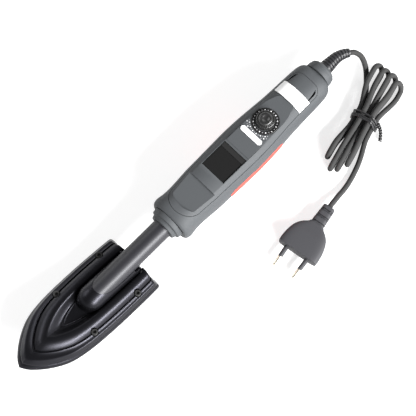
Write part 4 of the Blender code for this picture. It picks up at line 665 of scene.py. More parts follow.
@dataclass
class Studio:
    """Floor, lamps, surroundings and camera."""

    floor_reach: float = 8.0
    floor_tone: float = 0.5
    floor_glow: float = 0.7
    backdrop_tone: float = 1.0
    ceiling_tone: float = 0.16
    fade_low: float = 0.1
    fade_high: float = 0.6
    look_at: Point = (11.46 * MM, -10.02 * MM, 0.0)
    azimuth: float = math.radians(-44.42)
    elevation: float = math.radians(75.0)
    roll: float = math.radians(-1.13)
    distance: float = 1100.0 * MM
    focal: float = 118.67
    sensor: float = 36.0
    lamps: tuple[Lamp, ...] = (
        Lamp("right_softbox", (0.10, -0.95, 0.62), (0.03, -0.02, 0.02), (1.3, 0.22), 60.0),
        Lamp("left_softbox", (-0.15, 1.0, 0.75), (0.03, 0.0, 0.02), (1.0, 0.5), 4.0),
        Lamp("rear_strip", (1.05, 0.15, 0.6), (0.05, 0.0, 0.02), (0.7, 0.3), 3.0),
    )

    def build(self) -> None:
        """Sets up the whole studio."""
        self._camera()
        self._floor()
        self._surroundings()
        for lamp in self.lamps:
            lamp.hang()
        bpy.context.scene.view_settings.view_transform = "Standard"

    def _camera(self) -> None:
        """Places the camera where the photograph was taken."""
        data = bpy.data.cameras.new("camera")
        data.lens = self.focal
        data.sensor_width = self.sensor
        camera = bpy.data.objects.new("camera", data)
        bpy.context.scene.collection.objects.link(camera)
        level = math.cos(self.elevation)
        back = Vector((
            math.sin(self.azimuth) * level, -math.cos(self.azimuth) * level, math.sin(self.elevation),
        ))
        camera.location = Vector(self.look_at) + back * self.distance
        aimed = (-back).to_track_quat("-Z", "Y") @ Quaternion((0.0, 0.0, 1.0), self.roll)
        camera.rotation_euler = aimed.to_euler()
        bpy.context.scene.camera = camera

    def _seen(self, tree: bpy.types.NodeTree) -> bpy.types.NodeSocket:
        """Tells a ray that is seen directly, in gloss or through glass from others.

        Args:
            tree: the floor's node tree.

        Returns:
            A value of one for such a ray, and zero for others.
        """
        path = tree.nodes.new("ShaderNodeLightPath")
        plain = reckoned(tree, "MAXIMUM", path.outputs["Is Camera Ray"], path.outputs["Is Glossy Ray"])
        return reckoned(tree, "MAXIMUM", plain, path.outputs["Is Transmission Ray"])

    def _floor(self) -> None:
        """Lays the pale floor, which still takes the object's shadow."""
        bm = bmesh.new()
        bmesh.ops.create_grid(bm, x_segments=4, y_segments=4, size=self.floor_reach / 2)
        data = bpy.data.meshes.new("floor")
        bm.to_mesh(data)
        bm.free()
        floor = bpy.data.objects.new("floor", data)
        bpy.context.scene.collection.objects.link(floor)
        made = bpy.data.materials.new("floor")
        made.use_nodes = True
        tree = made.node_tree
        tree.nodes.remove(tree.nodes["Principled BSDF"])
        lit = tree.nodes.new("ShaderNodeBsdfDiffuse")
        lit.inputs["Color"].default_value = (self.floor_tone, self.floor_tone, self.floor_tone, 1.0)
        glow = tree.nodes.new("ShaderNodeEmission")
        strength = tree.nodes.new("ShaderNodeMath")
        strength.operation = "MULTIPLY"
        strength.inputs[1].default_value = self.floor_glow
        tree.links.new(self._seen(tree), strength.inputs[0])
        tree.links.new(strength.outputs["Value"], glow.inputs["Strength"])
        both = tree.nodes.new("ShaderNodeAddShader")
        tree.links.new(lit.outputs["BSDF"], both.inputs[0])
        tree.links.new(glow.outputs["Emission"], both.inputs[1])
        tree.links.new(both.outputs["Shader"], tree.nodes["Material Output"].inputs["Surface"])
        data.materials.append(made)

    def _surroundings(self) -> None:
        """A pale backdrop all round that darkens towards the ceiling."""
        world = bpy.data.worlds.new("surroundings")
        bpy.context.scene.world = world
        world.use_nodes = True
        tree = world.node_tree
        background = tree.nodes["Background"]
        place = tree.nodes.new("ShaderNodeTexCoord")
        split = tree.nodes.new("ShaderNodeSeparateXYZ")
        tree.links.new(place.outputs["Generated"], split.inputs["Vector"])
        fade = tree.nodes.new("ShaderNodeMapRange")
        fade.interpolation_type = "SMOOTHSTEP"
        fade.inputs["From Min"].default_value = self.fade_low
        fade.inputs["From Max"].default_value = self.fade_high
        fade.inputs["To Min"].default_value = self.backdrop_tone
        fade.inputs["To Max"].default_value = self.ceiling_tone
        tree.links.new(split.outputs["Z"], fade.inputs["Value"])
        path = tree.nodes.new("ShaderNodeLightPath")
        seen = reckoned(tree, "MAXIMUM", path.outputs["Is Camera Ray"], fade.outputs["Result"])
        tree.links.new(seen, background.inputs["Strength"])
        background.inputs["Color"].default_value = (1.0, 1.0, 1.0, 1.0)


@dataclass
class MainsCord:
    """The cord from the strain relief through its tied hank to the plug."""

    radius: float = 2.25 * MM
    relief_base: float = 215.7 * MM
    relief_straight: float = 11.0 * MM
    relief_curved: float = 16.0 * MM
    relief_bend: float = math.radians(38.0)
    relief_tilt: float = math.radians(30.0)
    centre: tuple[float, float] = (211.8 * MM, -50.6 * MM)
    turn: float = math.radians(14.9)
    fingers: int = 4
    waist_pitch: float = 4.0 * MM
    waist_stagger: float = 3.25 * MM
    waist_layer: float = 6.45 * MM
    lower_pitch: float = 5.1 * MM
    upper_pitch: float = 6.9 * MM
    end_layer: float = 9.0 * MM
    open_reach: float = 32.0 * MM
    lower_reach: tuple[float, ...] = (44.0 * MM, 52.0 * MM, 49.5 * MM, 42.0 * MM)
    upper_reach: tuple[float, ...] = (49.5 * MM, 48.5 * MM, 47.5 * MM, 44.0 * MM)
    stray: float = 1.6 * MM
    settle: float = 13.0 * MM
    end: float = 9.5 * MM
    tie_width: float = 11.0 * MM
    tie_thickness: float = 0.7 * MM
    rounding: int = 5
    run_points: int = 24
    fold_points: int = 12
    plug_face: tuple[float, float] = (93.3 * MM, -87.2 * MM)
    plug_turn: float = math.radians(8.8)
    plug_back: float = 45.8 * MM
    plug_height: float = 6.85 * MM
    lead_in: Table = (
        (247.6, -11.6, 14.8), (247.2, -16.2, 11.2), (244.6, -21.4, 7.6), (240.4, -26.2, 5.0),
        (235.2, -31.0, 3.7), (229.4, -35.6, 3.2),
    )
    lead_out: Table = (
        (194.8, -65.2, 2.4), (189.2, -68.2, 2.3), (182.3, -71.4, 2.3), (174.8, -74.0, 2.3),
        (166.4, -76.4, 2.4), (158.0, -77.9, 3.2), (150.6, -78.5, 4.8),
    )

    def relief_frame(self, along: float) -> tuple[Vector, Vector]:
        """Centre and direction of the strain relief at a distance from the collar.

        Args:
            along: the distance from the collar.

        Returns:
            The centre and the direction there.
        """
        arc = self.relief_curved / self.relief_bend
        angle = max(along - self.relief_straight, 0.0) / arc
        sideways = Vector((0.0, -math.cos(self.relief_tilt), -math.sin(self.relief_tilt)))
        forward = Vector((1.0, 0.0, 0.0))
        centre = spot(self.relief_base + min(along, self.relief_straight), 0.0, AXIS_HEIGHT)
        centre += arc * (math.sin(angle) * forward + (1.0 - math.cos(angle)) * sideways)
        return centre, math.cos(angle) * forward + math.sin(angle) * sideways

    def hank_place(self, u: float, v: float, z: float) -> Vector:
        """A point of the hank, from its distance along the runs, across them and up.

        Args:
            u: the distance along the runs.
            v: the distance across them.
            z: the height over the floor.

        Returns:
            The point in the frame of the solids.
        """
        along = Vector((math.cos(self.turn), math.sin(self.turn), 0.0))
        across = Vector((math.sin(self.turn), -math.cos(self.turn), 0.0))
        return spot(*self.centre, z) + u * along + v * across

    def column(self, u: float, index: int, layer: int) -> Vector:
        """A point on one run of the hank.

        Args:
            u: the distance along the runs.
            index: the finger's number.
            layer: 0 for its lower run, and 1 for its upper one.

        Returns:
            The point in the frame of the solids.
        """
        opened = smooth_step((abs(u) - self.tie_width / 2) / (self.open_reach - self.tie_width / 2))
        wide = self.upper_pitch if u > 0.0 else self.lower_pitch
        across = (index - self.fingers / 2) * (self.waist_pitch + (wide - self.waist_pitch) * opened)
        if index == 0 and u < 0.0:
            across -= self.stray * opened
        step = self.waist_layer + (self.end_layer - self.waist_layer) * opened
        stagger = self.waist_stagger * (index % 2) * (1.0 - opened * opened)
        closed = 1.0 - smooth_step((abs(u) - self.tie_width / 2) / self.settle)
        lift = (self.tie_thickness + GAP) * closed
        return self.hank_place(u, across, self.radius + lift + stagger + layer * step)

    def _run(self, start: float, stop: float, index: int, layer: int) -> list[Vector]:
        """One run without its last point."""
        return [
            self.column(start + (stop - start) * step / self.run_points, index, layer)
            for step in range(self.run_points)
        ]

    def _fold(self, first: Vector, last: Vector, away: Vector) -> list[Vector]:
        """A half-round fold between two runs, without its last point.

        Args:
            first: the end of the run that comes in.
            last: the start of the run that goes out.
            away: the direction in which the fold bulges.

        Returns:
            The fold's points.
        """
        middle = (first + last) / 2
        arm = (first - last) / 2
        points = []
        for step in range(self.fold_points):
            angle = math.pi * step / self.fold_points
            points.append(middle + arm * math.cos(angle) + away * arm.length * math.sin(angle))
        return points

    def hank(self) -> list[Vector]:
        """The hank's whole path.

        Returns:
            The path's points.
        """
        along = Vector((math.cos(self.turn), math.sin(self.turn), 0.0))
        points: list[Vector] = []
        top = self.end
        lower_fold = self.end_layer / 2 + self.radius
        upper_fold = math.hypot(self.end_layer, self.upper_pitch) / 2 + self.radius
        for finger in range(self.fingers):
            low = lower_fold - self.lower_reach[finger]
            high = self.upper_reach[finger] - upper_fold
            points += self._run(top, low, finger, 0)
            points += self._fold(self.column(low, finger, 0), self.column(low, finger, 1), -along)
            points += self._run(low, high, finger, 1)
            points += self._fold(self.column(high, finger, 1), self.column(high, finger + 1, 0), along)
            top = high
        points += self._run(top, -self.end, self.fingers, 0)
        points.append(self.column(-self.end, self.fingers, 0))
        return points

    def path(self) -> list[Vector]:
        """The whole cord's line, from the strain relief's tip to the plug's relief.

        Returns:
            The line's points.
        """
        hank = self.hank()
        tip, direction = self.relief_frame(self.relief_straight + self.relief_curved)
        first = tip + direction * GAP
        into = (hank[1] - hank[0]).normalized()
        entry = [first, first + direction * 2 * self.radius]
        entry += [spot(*[part * MM for part in point]) for point in self.lead_in]
        entry += [hank[0] - into * 2 * self.radius, hank[0]]
        out = (hank[-1] - hank[-2]).normalized()
        back = Vector((math.cos(self.plug_turn), math.sin(self.plug_turn), 0.0))
        last = spot(*self.plug_face, self.plug_height) + back * self.plug_back
        leave = [hank[-1], hank[-1] + out * 2 * self.radius]
        leave += [spot(*[part * MM for part in point]) for point in self.lead_out]
        leave += [last + back * 2 * self.radius, last]
        return through(entry)[:-1] + hank[:-1] + through(leave)

    def build(self) -> bpy.types.Object:
        """Lays the cord as one curve.

        Returns:
            The cord.
        """
        cord = laid_curve("mains_cord", [self.path()], self.radius, self.rounding, CORD_BLACK)
        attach(cord, "iron")
        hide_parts("cord_lead_in", "cord_hank", "cord_lead_out")
        return cord

    def declare(self) -> None:
        """Says how long the cord is.
        """
        points = self.path()
        length = sum((b - a).length for a, b in zip(points, points[1:]))
        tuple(points[0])
        LOG.info("mains cord of %.3f m", length)


@dataclass
class Shoe:
    """The pointed shoe: working plate, moulded cover and four socket screws."""

    pitch: float = math.radians(11.0)
    length: float = 125.5 * MM
    half_width: float = 29.0 * MM
    sole: float = 3.2 * MM
    wall: float = 8.0 * MM
    draft: float = 3.6 * MM
    corner: float = 2.6 * MM
    edge: float = 0.35 * MM
    wall_shares: tuple[float, float] = (0.944, 0.883)
    columns: int = 150
    corner_share: float = 0.08
    outline: Table = (
        (0.0, 0.97), (0.08, 0.985), (0.24, 1.0), (0.38, 1.0), (0.51, 0.985), (0.61, 0.955),
        (0.70, 0.895), (0.765, 0.815), (0.83, 0.68), (0.885, 0.53), (0.936, 0.355), (0.975, 0.18),
        (1.0, 0.0),
    )
    relief: Table = (
        (8.0, 0.944, 0.883), (8.25, 0.936, 0.868), (8.5, 0.918, 0.838), (8.85, 0.902, 0.808),
        (9.3, 0.890, 0.786), (9.6, 0.884, 0.776), (9.5, 0.8805, 0.769), (8.75, 0.877, 0.761),
        (8.65, 0.8725, 0.751), (9.1, 0.8685, 0.743), (9.9, 0.861, 0.728), (11.0, 0.849, 0.696),
        (12.2, 0.833, 0.652), (13.1, 0.815, 0.600), (13.6, 0.795, 0.540), (13.75, 0.778, 0.475),
        (13.5, 0.764, 0.438), (12.7, 0.748, 0.410), (11.2, 0.722, 0.376), (9.5, 0.692, 0.338),
        (8.5, 0.668, 0.310), (8.2, 0.655, 0.296), (8.25, 0.647, 0.288), (8.6, 0.640, 0.281),
        (8.75, 0.633, 0.273), (8.6, 0.626, 0.265), (8.2, 0.618, 0.256), (8.1, 0.605, 0.245),
        (8.1, 0.45, 0.12), (8.1, 0.30, 0.0),
    )
    relief_steps: int = 3
    boss_radius: float = 10.8 * MM
    boss_height: float = 11.5 * MM
    boss_foot: float = 8.1 * MM
    boss_rear: float = 7.0 * MM
    boss_centre: float = 49.0 * MM
    boss_nose: float = 12.0 * MM
    notch_depth: float = 11.5 * MM
    notch_half_width: float = 9.6 * MM
    notch_floor: float = 5.4 * MM
    seat_radius: float = 8.8 * MM
    seat_front: float = -49.8 * MM
    screw_rows: tuple[float, float] = (20.3 * MM, 66.7 * MM)
    screw_edge: float = 7.3 * MM
    bore_radius: float = 3.2 * MM
    bore_floor: float = 7.6 * MM
    head_radius: float = 2.6 * MM
    head_height: float = 2.6 * MM
    shank_radius: float = 1.4 * MM
    socket_radius: float = 1.6 * MM
    socket_depth: float = 1.5 * MM
    # The middle of the underside, as shares of the length, and how the lower edges are broken.
    plate_middle: float = 0.4
    cover_middle: float = 0.3
    chamfer: tuple[float, float] = (0.3, 0.7)
    wall_steps: tuple[float, ...] = (0.3, 0.55, 0.8)
    boss_columns: int = 120
    boss_rows: int = 60
    # Shares of the boss's grid at which its underside, its side and its straight flank end.
    boss_under: float = 0.1
    boss_side: float = 0.35
    boss_straight: float = 0.3
    boss_sink: float = 2.0 * MM
    notch_top: float = 40.0 * MM
    pocket_front: float = -96.0 * MM
    pocket_rear: float = -42.0 * MM
    pocket_half_width: float = 12.0 * MM
    pocket_height: float = 2.9 * MM
    seat_rear: float = 20.0 * MM
    bore_top: float = 8.0 * MM
    bore_steps: int = 48
    shank_depth: float = 2.2 * MM
    screw_ease: float = 0.3 * MM
    socket_clear: float = 1.0 * MM

    def frame(self) -> Matrix:
        """The shoe's place, pitched about its heel."""
        return Matrix.Translation(spot(0.0, 0.0, 0.0)) @ Matrix.Rotation(self.pitch, 4, "Y")

    def edge_point(self, u: float, tip: float, half_width: float, height: float) -> Vector:
        """A point on the shoe's outline at a height.

        Args:
            u: the share of the way from the rear left corner round the tip to the rear right one.
            tip: how far the outline reaches from the heel.
            half_width: half its width.
            height: its height over the working face.

        Returns:
            The point in the shoe's own frame.
        """
        side = 1.0 if u <= 0.5 else -1.0
        part = 2.0 * min(u, 1.0 - u)
        rear = self.draft * min(height / self.wall, 1.0)
        widest = half_width * self.outline[0][1]
        corner = min(self.corner, widest)
        if part < self.corner_share:
            angle = math.pi / 2 * part / self.corner_share
            return Vector((
                -rear - corner * (1.0 - math.cos(angle)),
                side * (widest - corner * (1.0 - math.sin(angle))),
                height,
            ))
        at = math.sin(math.pi / 2 * (part - self.corner_share) / (1.0 - self.corner_share))
        along = rear + corner + (tip - rear - corner) * at
        return Vector((-along, side * half_width * share_at(self.outline, at)[0], height))

    def wall_row(self, height: float, inset: float = 0.0) -> tuple[float, float, float]:
        """Height, reach and half width of the drafted wall at a height."""
        tip, width = (1.0 + (share - 1.0) * height / self.wall for share in self.wall_shares)
        return height, self.length * tip - inset, self.half_width * width - inset

    def shell(self, rows: Sequence[Sequence[float]]) -> bmesh.types.BMesh:
        """A closed skin over rows of height, reach and half width, with a flat rear face.

        Args:
            rows: the rows from the middle of the underside to the middle of the top.

        Returns:
            The mesh in the shoe's own frame.
        """
        last = len(rows) - 1

        def place(u: float, v: float) -> Vector:
            """The point at a share round the row that lies at a share along them."""
            height, tip, half_width = rows[round(v * last)]
            return self.edge_point(u, tip, half_width, height)

        bm = skin(self.columns, last, place, capped=False)
        rims = [edge for edge in bm.edges if edge.is_boundary]
        low = [edge for edge in rims if min(v.co.z for v in edge.verts) < self.wall - MERGE]
        high = [edge for edge in rims if edge not in low]
        low_verts = {vert for edge in low for vert in edge.verts}
        ends = [vert for vert in low_verts if any(edge in high for edge in vert.link_edges)]
        if high and len(ends) == 2:
            across = bm.edges.new(ends)
            bmesh.ops.edgenet_fill(bm, edges=low + [across])
            bmesh.ops.edgenet_fill(bm, edges=high + [across])
        else:
            bmesh.ops.holes_fill(bm, edges=low, sides=0)
        bmesh.ops.recalc_face_normals(bm, faces=bm.faces)
        return bm

    def sole_rows(self) -> list[tuple[float, float, float]]:
        """Rows of the working plate.

        Returns:
            Rows of height, reach and half width.
        """
        middle = self.length * self.plate_middle
        near, far = self.chamfer
        return [
            (0.0, middle, 0.0), self.wall_row(0.0, self.edge),
            self.wall_row(self.edge * near, self.edge * near), self.wall_row(self.edge),
            self.wall_row(self.sole / 2), self.wall_row(self.sole - self.edge),
            self.wall_row(self.sole, self.edge * far), (self.sole, middle, 0.0),
        ]

    def cover_rows(self) -> list[tuple[float, float, float]]:
        """Rows of the cover, from its underside over the ridge into the valley.

        Returns:
            Rows of height, reach and half width.
        """
        base = self.sole + GAP
        rows = [
            (base, self.length * self.cover_middle, 0.0),
            self.wall_row(base, self.edge * self.chamfer[1]), self.wall_row(base + self.edge),
        ]
        rows += [self.wall_row(base + (self.wall - base) * share) for share in self.wall_steps]
        points = [
            Vector((height * MM, tip * self.length, width * self.half_width))
            for height, tip, width in self.relief
        ]
        rows += [tuple(point) for point in through(points, self.relief_steps)]
        return rows

    def boss_point(self, u: float, v: float) -> Vector:
        """A point of the boss, from the middle of its underside over its flared foot to its top line.

        Args:
            u: the share round the boss, from its rear left end.
            v: the share from the middle of its underside to its top line.

        Returns:
            The point in the shoe's own frame.
        """
        foot = self.boss_height - self.boss_foot
        if v < self.boss_under:
            out = (self.boss_radius + foot) * v / self.boss_under
            height = self.boss_foot - self.boss_sink
        elif v < self.boss_side:
            angle = math.pi / 2 * (v - self.boss_under) / (self.boss_side - self.boss_under)
            out = self.boss_radius + foot * (1.0 - math.sin(angle))
            height = self.boss_foot + foot * (1.0 - math.cos(angle))
        else:
            angle = math.pi / 2 * (v - self.boss_side) / (1.0 - self.boss_side)
            out = self.boss_radius * math.cos(angle)
            height = self.boss_height + self.boss_radius * math.sin(angle)
        if min(u, 1.0 - u) < self.boss_straight:
            side = 1.0 if u < 0.5 else -1.0
            share = min(u, 1.0 - u) / self.boss_straight
            along = -self.boss_rear - (self.boss_centre - self.boss_rear) * share
            return Vector((along, side * out, height))
        angle = math.pi * (u - self.boss_straight) / (1.0 - 2.0 * self.boss_straight)
        reach = self.boss_nose / self.boss_radius
        return Vector((-self.boss_centre - out * reach * math.sin(angle), out * math.cos(angle), height))

    def screw_places(self) -> list[tuple[float, float]]:
        """Where the four screws stand.

        Returns:
            Each screw's place in plan, in the shoe's own frame.
        """
        places = []
        for distance in self.screw_rows:
            edge = self.half_width * share_at(self.outline, distance / self.length)[0]
            places += [(-distance, side * (edge - self.screw_edge)) for side in (1, -1)]
        return places

    def bore(self, place: tuple[float, float]) -> bmesh.types.BMesh:
        """The counterbore and the hole for a screw.

        Args:
            place: the screw's place in plan.

        Returns:
            The mesh to cut with.
        """
        low, high = self.sole, self.wall + self.bore_top
        shank = self.shank_radius + GAP
        profile = (
            (low, 0.0), (low, shank), (self.bore_floor, shank), (self.bore_floor, self.bore_radius),
            (high, self.bore_radius), (high, 0.0),
        )
        return moved(turned(profile, self.bore_steps), upright(Vector((*place, 0.0))))

    def screw(self, place: tuple[float, float]) -> bmesh.types.BMesh:
        """A socket screw with a hexagon socket.

        Args:
            place: its place in plan.

        Returns:
            The screw's mesh.
        """
        seat = self.bore_floor + GAP
        top = seat + self.head_height
        low = self.sole - self.shank_depth
        profile = eased((
            (low, 0.0), (low, self.shank_radius), (seat, self.shank_radius),
            (seat, self.head_radius), (top, self.head_radius), (top, 0.0),
        ), self.screw_ease)
        body = moved(turned(profile, self.bore_steps), upright(Vector((*place, 0.0))))
        socket = rod(self.socket_radius, top - self.socket_depth, top + self.socket_clear, place, sides=6)
        return carved(body, (Cut.TAKE, socket))

    def build(self) -> None:
        """Models the plate, the cover and the screws."""
        frame = self.frame()
        plate = moved(self.shell(self.sole_rows()), frame)
        add_piece("working_plate", plate, SOLE_METAL, ["sole_plate"])
        relief = self.shell(self.cover_rows())
        boss = skin(self.boss_columns, self.boss_rows, self.boss_point)
        notch = block(
            (-self.notch_depth, -self.notch_half_width, self.notch_floor),
            (CLEAR, self.notch_half_width, self.notch_top),
        )
        pocket = block(
            (self.pocket_front, -self.pocket_half_width, 0.0),
            (self.pocket_rear, self.pocket_half_width, self.sole + GAP + self.pocket_height),
        )
        bores = joined([self.bore(place) for place in self.screw_places()])
        profile = (
            (self.seat_front, 0.0), (self.seat_front, self.seat_radius),
            (self.seat_rear, self.seat_radius), (self.seat_rear, 0.0),
        )
        seat = moved(turned(profile), frame.inverted() @ Matrix.Translation(spot(0.0, 0.0, AXIS_HEIGHT)))
        cover = carved(relief, (Cut.ADD, boss), *[(Cut.TAKE, tool) for tool in (notch, pocket, bores, seat)])
        add_piece("moulded_cover", moved(cover, frame), SHOE_BLACK, ["shoe_cover"])
        for number, place in enumerate(self.screw_places(), 1):
            screw = moved(self.screw(place), frame)
            add_piece(f"socket_screw_{number}", screw, SCREW_BLACK, [f"shoe_screw_{number}"])


@dataclass
class Shaft:
    """The glossy tube and the stepped ring where it enters the handle."""

    radius: float = 8.5 * MM
    wall: float = 1.0 * MM
    front: float = -46.0 * MM
    rear: float = 57.0 * MM
    steps: int = 128
    ring_ease: float = 0.5 * MM
    ring: Table = (
        (31.2, 8.8), (31.2, 11.2), (34.3, 12.1), (34.6, 13.9), (38.7, 14.6), (38.7, 12.0),
        (42.7, 12.0), (42.7, 8.8),
    )

    def build(self) -> None:
        """Turns the tube and the ring."""
        place = Matrix.Translation(spot(0.0, 0.0, AXIS_HEIGHT))
        inner = self.radius - self.wall
        walls = (
            (self.front, inner), (self.front, self.radius), (self.rear, self.radius), (self.rear, inner),
        )
        tube = moved(turned(walls, self.steps, closed=True), place)
        add_piece("glossy_tube", tube, TUBE_BLACK, ["shaft_tube"])
        profile = eased([(x * MM, r * MM) for x, r in self.ring], self.ring_ease)
        ring = moved(turned(profile, self.steps, closed=True), place)
        add_piece("stepped_nose_ring", ring, HANDLE_GREY, ["nose_ring"])


@dataclass
class Handle:
    """The handle's two shells, its side inlays, window, label and rear end."""

    length: float = 168.0 * MM
    half_width: float = 20.4 * MM
    top: float = 39.8 * MM
    belly: float = 0.9 * MM
    wall: float = 2.2 * MM
    power: float = 2.5
    stations: Table = (
        (0.0, 0.845, 0.905, 0.118), (0.008, 0.91, 0.928, 0.085), (0.03, 0.945, 0.952, 0.062),
        (0.065, 0.905, 0.958, 0.052), (0.107, 0.893, 0.97, 0.036), (0.16, 0.915, 0.984, 0.02),
        (0.22, 0.95, 0.995, 0.006), (0.30, 0.965, 1.0, 0.0), (0.39, 0.985, 1.0, 0.0),
        (0.482, 1.0, 1.0, 0.0), (0.57, 0.98, 0.996, 0.0), (0.66, 0.93, 0.986, 0.006),
        (0.72, 0.89, 0.974, 0.024), (0.79, 0.865, 0.956, 0.05), (0.87, 0.85, 0.93, 0.084),
        (0.93, 0.832, 0.902, 0.122), (0.968, 0.80, 0.872, 0.16), (0.99, 0.725, 0.832, 0.208),
        (1.0, 0.62, 0.79, 0.26),
    )
    columns: int = 128
    rows: int = 150
    cover_front: float = 45.5 * MM
    cover_rear: float = 197.0 * MM
    cover_inset: float = 3.8 * MM
    cover_corner: float = 7.0 * MM
    cover_nose: float = 13.3 * MM
    cover_seat: float = 26.0 * MM
    cover_wall: float = 1.5 * MM
    cover_ceiling: float = 34.4 * MM
    seam: float = 0.3 * MM
    flat: float = 37.0 * MM
    flat_front: float = 76.0 * MM
    flat_rear: float = 176.0 * MM
    flat_half_width: float = 12.3 * MM
    flat_round: float = 24.0 * MM
    thumb: float = 35.9 * MM
    thumb_front: float = 51.0 * MM
    thumb_half_width: float = 13.4 * MM
    thumb_round: float = 8.5 * MM
    window_front: float = 87.3 * MM
    window_length: float = 25.8 * MM
    window_half_width: float = 11.9 * MM
    window_recess: float = 0.8 * MM
    window_thickness: float = 1.8 * MM
    window_ledge: float = 4.3 * MM
    inlay_front: float = 88.7 * MM
    inlay_rear: float = 147.6 * MM
    inlay_up: float = math.radians(8.0)
    inlay_down: float = math.radians(27.0)
    inlay_proud: float = 0.35 * MM
    inlay_depth: float = 0.9 * MM
    label_front: float = 171.4 * MM
    label_rear: float = 183.2 * MM
    label_half_angle: float = math.radians(45.0)
    label_thickness: float = 0.25 * MM
    # How much the grid's rows crowd at the handle's ends, and the steps of the outlines.
    bunching: float = 0.45
    nose_steps: int = 16
    side_steps: int = 60
    corner_steps: int = 10
    end_steps: int = 32
    hollow_front: float = 3.0 * MM
    hollow_rear: float = 4.0 * MM
    # Profiles in millimetres from the heel and from the axis.
    front_bore: Table = ((36.0, 0.0), (36.0, 12.3), (46.0, 12.3), (46.0, 0.0))
    rear_bore: Table = ((200.0, 0.0), (200.0, 9.3), (210.0, 9.3), (210.0, 0.0))
    flat_lead: float = 10.0 * MM
    # The taper at the inlay's ends: its length in depths, the width left, and its slopes.
    inlay_tip: float = 6.0
    inlay_least: float = 0.35
    inlay_end_slope: float = 60.0
    inlay_edge_slope: float = 24.0
    inlay_grid: tuple[int, int] = (64, 80)
    label_grid: tuple[int, int] = (96, 12)
    pane_edge: float = 0.2 * MM
    ledge_edge: float = 0.25 * MM
    ledge_gap: float = 0.1 * MM
    ledge_rise: float = 0.35 * MM
    label_sink: float = 0.4
    collar_ease: float = 0.35 * MM
    collar: Table = (
        (201.3, 6.7), (201.3, 9.0), (207.3, 9.0), (207.3, 12.2), (211.3, 12.0), (211.5, 11.6),
        (214.0, 11.3), (215.7, 9.6), (215.7, 6.7),
    )

    def section(self, x: float, angle: float, offset: float = 0.0) -> Vector:
        """A point on the handle's skin.

        Args:
            x: the distance from the heel.
            angle: the angle round the handle, from its left side upwards.
            offset: how far outside the skin the point lies.

        Returns:
            The point in the frame of the solids.
        """
        at = min(max((x - HANDLE_FRONT) / self.length, 0.0), 1.0)
        width, high, low = share_at(self.stations, at)
        reach = self.half_width * width + offset
        top = self.top * high + offset
        bottom = self.top * low - self.belly - offset
        across, rise = math.cos(angle), math.sin(angle)
        y = reach * math.copysign(abs(across) ** (2.0 / self.power), across)
        z = (top + bottom) / 2 + (top - bottom) / 2 * math.copysign(abs(rise) ** (2.0 / self.power), rise)
        return spot(x, y, max(z, -offset))

    def body(self, offset: float = 0.0, front: float = 0.0, rear: float = 0.0) -> bmesh.types.BMesh:
        """The handle's form, grown by an offset and shortened at its ends.

        Args:
            offset: how far outside the skin the form lies.
            front: how much shorter it is at the front.
            rear: how much shorter it is at the rear.

        Returns:
            The closed form.
        """
        start, stop = HANDLE_FRONT + front, HANDLE_FRONT + self.length - rear

        def place(u: float, v: float) -> Vector:
            """The point at a share round the handle and a share along it."""
            blend = self.bunching * (0.5 - 0.5 * math.cos(math.pi * v)) + (1.0 - self.bunching) * v
            return self.section(start + (stop - start) * blend, math.tau * u, offset)

        return skin(self.columns, self.rows, place)

    def cover_outline(self, grow: float) -> list[tuple[float, float]]:
        """The top cover's outline in plan, which follows the handle's sides.

        Args:
            grow: how far the outline lies outside the cover's own.

        Returns:
            The outline's points.
        """
        front, rear = self.cover_front - grow, self.cover_rear + grow
        corner = self.cover_corner + grow

        def half(x: float) -> float:
            """Half the outline's width at a distance from the heel."""
            at = (x - HANDLE_FRONT) / self.length
            return self.half_width * share_at(self.stations, at)[0] - self.cover_inset + grow

        side = []
        for step in range(1, self.nose_steps):
            angle = math.pi / 2 * step / self.nose_steps
            x = front + self.cover_nose * (1.0 - math.cos(angle))
            side.append((x, half(x) * math.sin(angle)))
        for step in range(self.side_steps + 1):
            x = front + self.cover_nose + (rear - corner - front - self.cover_nose) * step / self.side_steps
            side.append((x, half(x)))
        for step in range(1, self.corner_steps + 1):
            angle = math.pi / 2 * step / self.corner_steps
            x = rear - corner * (1.0 - math.sin(angle))
            side.append((x, half(x) - corner * (1.0 - math.cos(angle))))
        outline = [(front, 0.0), *[(x, -y) for x, y in side], *side[::-1]]
        return [(x + HEEL_X, y) for x, y in outline]

    def round_ended(
        self, front: float, rear: float, half_width: float, front_reach: float, rear_reach: float,
    ) -> list[tuple[float, float]]:
        """An outline in plan along the handle, with half an ellipse at an end that has a reach.

        Args:
            front: where it starts.
            rear: where it ends.
            half_width: half its width.
            front_reach: how long the half ellipse at the front is, or 0.
            rear_reach: how long the half ellipse at the rear is, or 0.

        Returns:
            The outline's points.
        """
        ends = (
            (rear - rear_reach, rear_reach, -math.pi / 2),
            (front + front_reach, front_reach, math.pi / 2),
        )
        points = []
        for end, reach, turn in ends:
            count = self.end_steps if reach else 1
            for step in range(count + 1):
                angle = turn + math.pi * step / count
                points.append((end + reach * math.cos(angle) + HEEL_X, half_width * math.sin(angle)))
        return points

    def bore(self, profile: Table) -> bmesh.types.BMesh:
        """A round bore about the shaft's axis, to cut with."""
        place = Matrix.Translation(spot(0.0, 0.0, AXIS_HEIGHT))
        return moved(turned([(x * MM, radius * MM) for x, radius in profile]), place)

    def lower(self) -> None:
        """The lower shell, which also forms both ends."""
        opening = prism(self.cover_outline(self.seam), self.cover_seat, self.top + CLEAR)
        hollow = self.body(-self.wall, self.hollow_front, self.hollow_rear)
        tools = (opening, hollow, self.bore(self.front_bore), self.bore(self.rear_bore))
        shell = carved(self.body(), *[(Cut.TAKE, tool) for tool in tools])
        add_piece("handle_lower_shell", shell, HANDLE_GREY, ["lower_shell"])

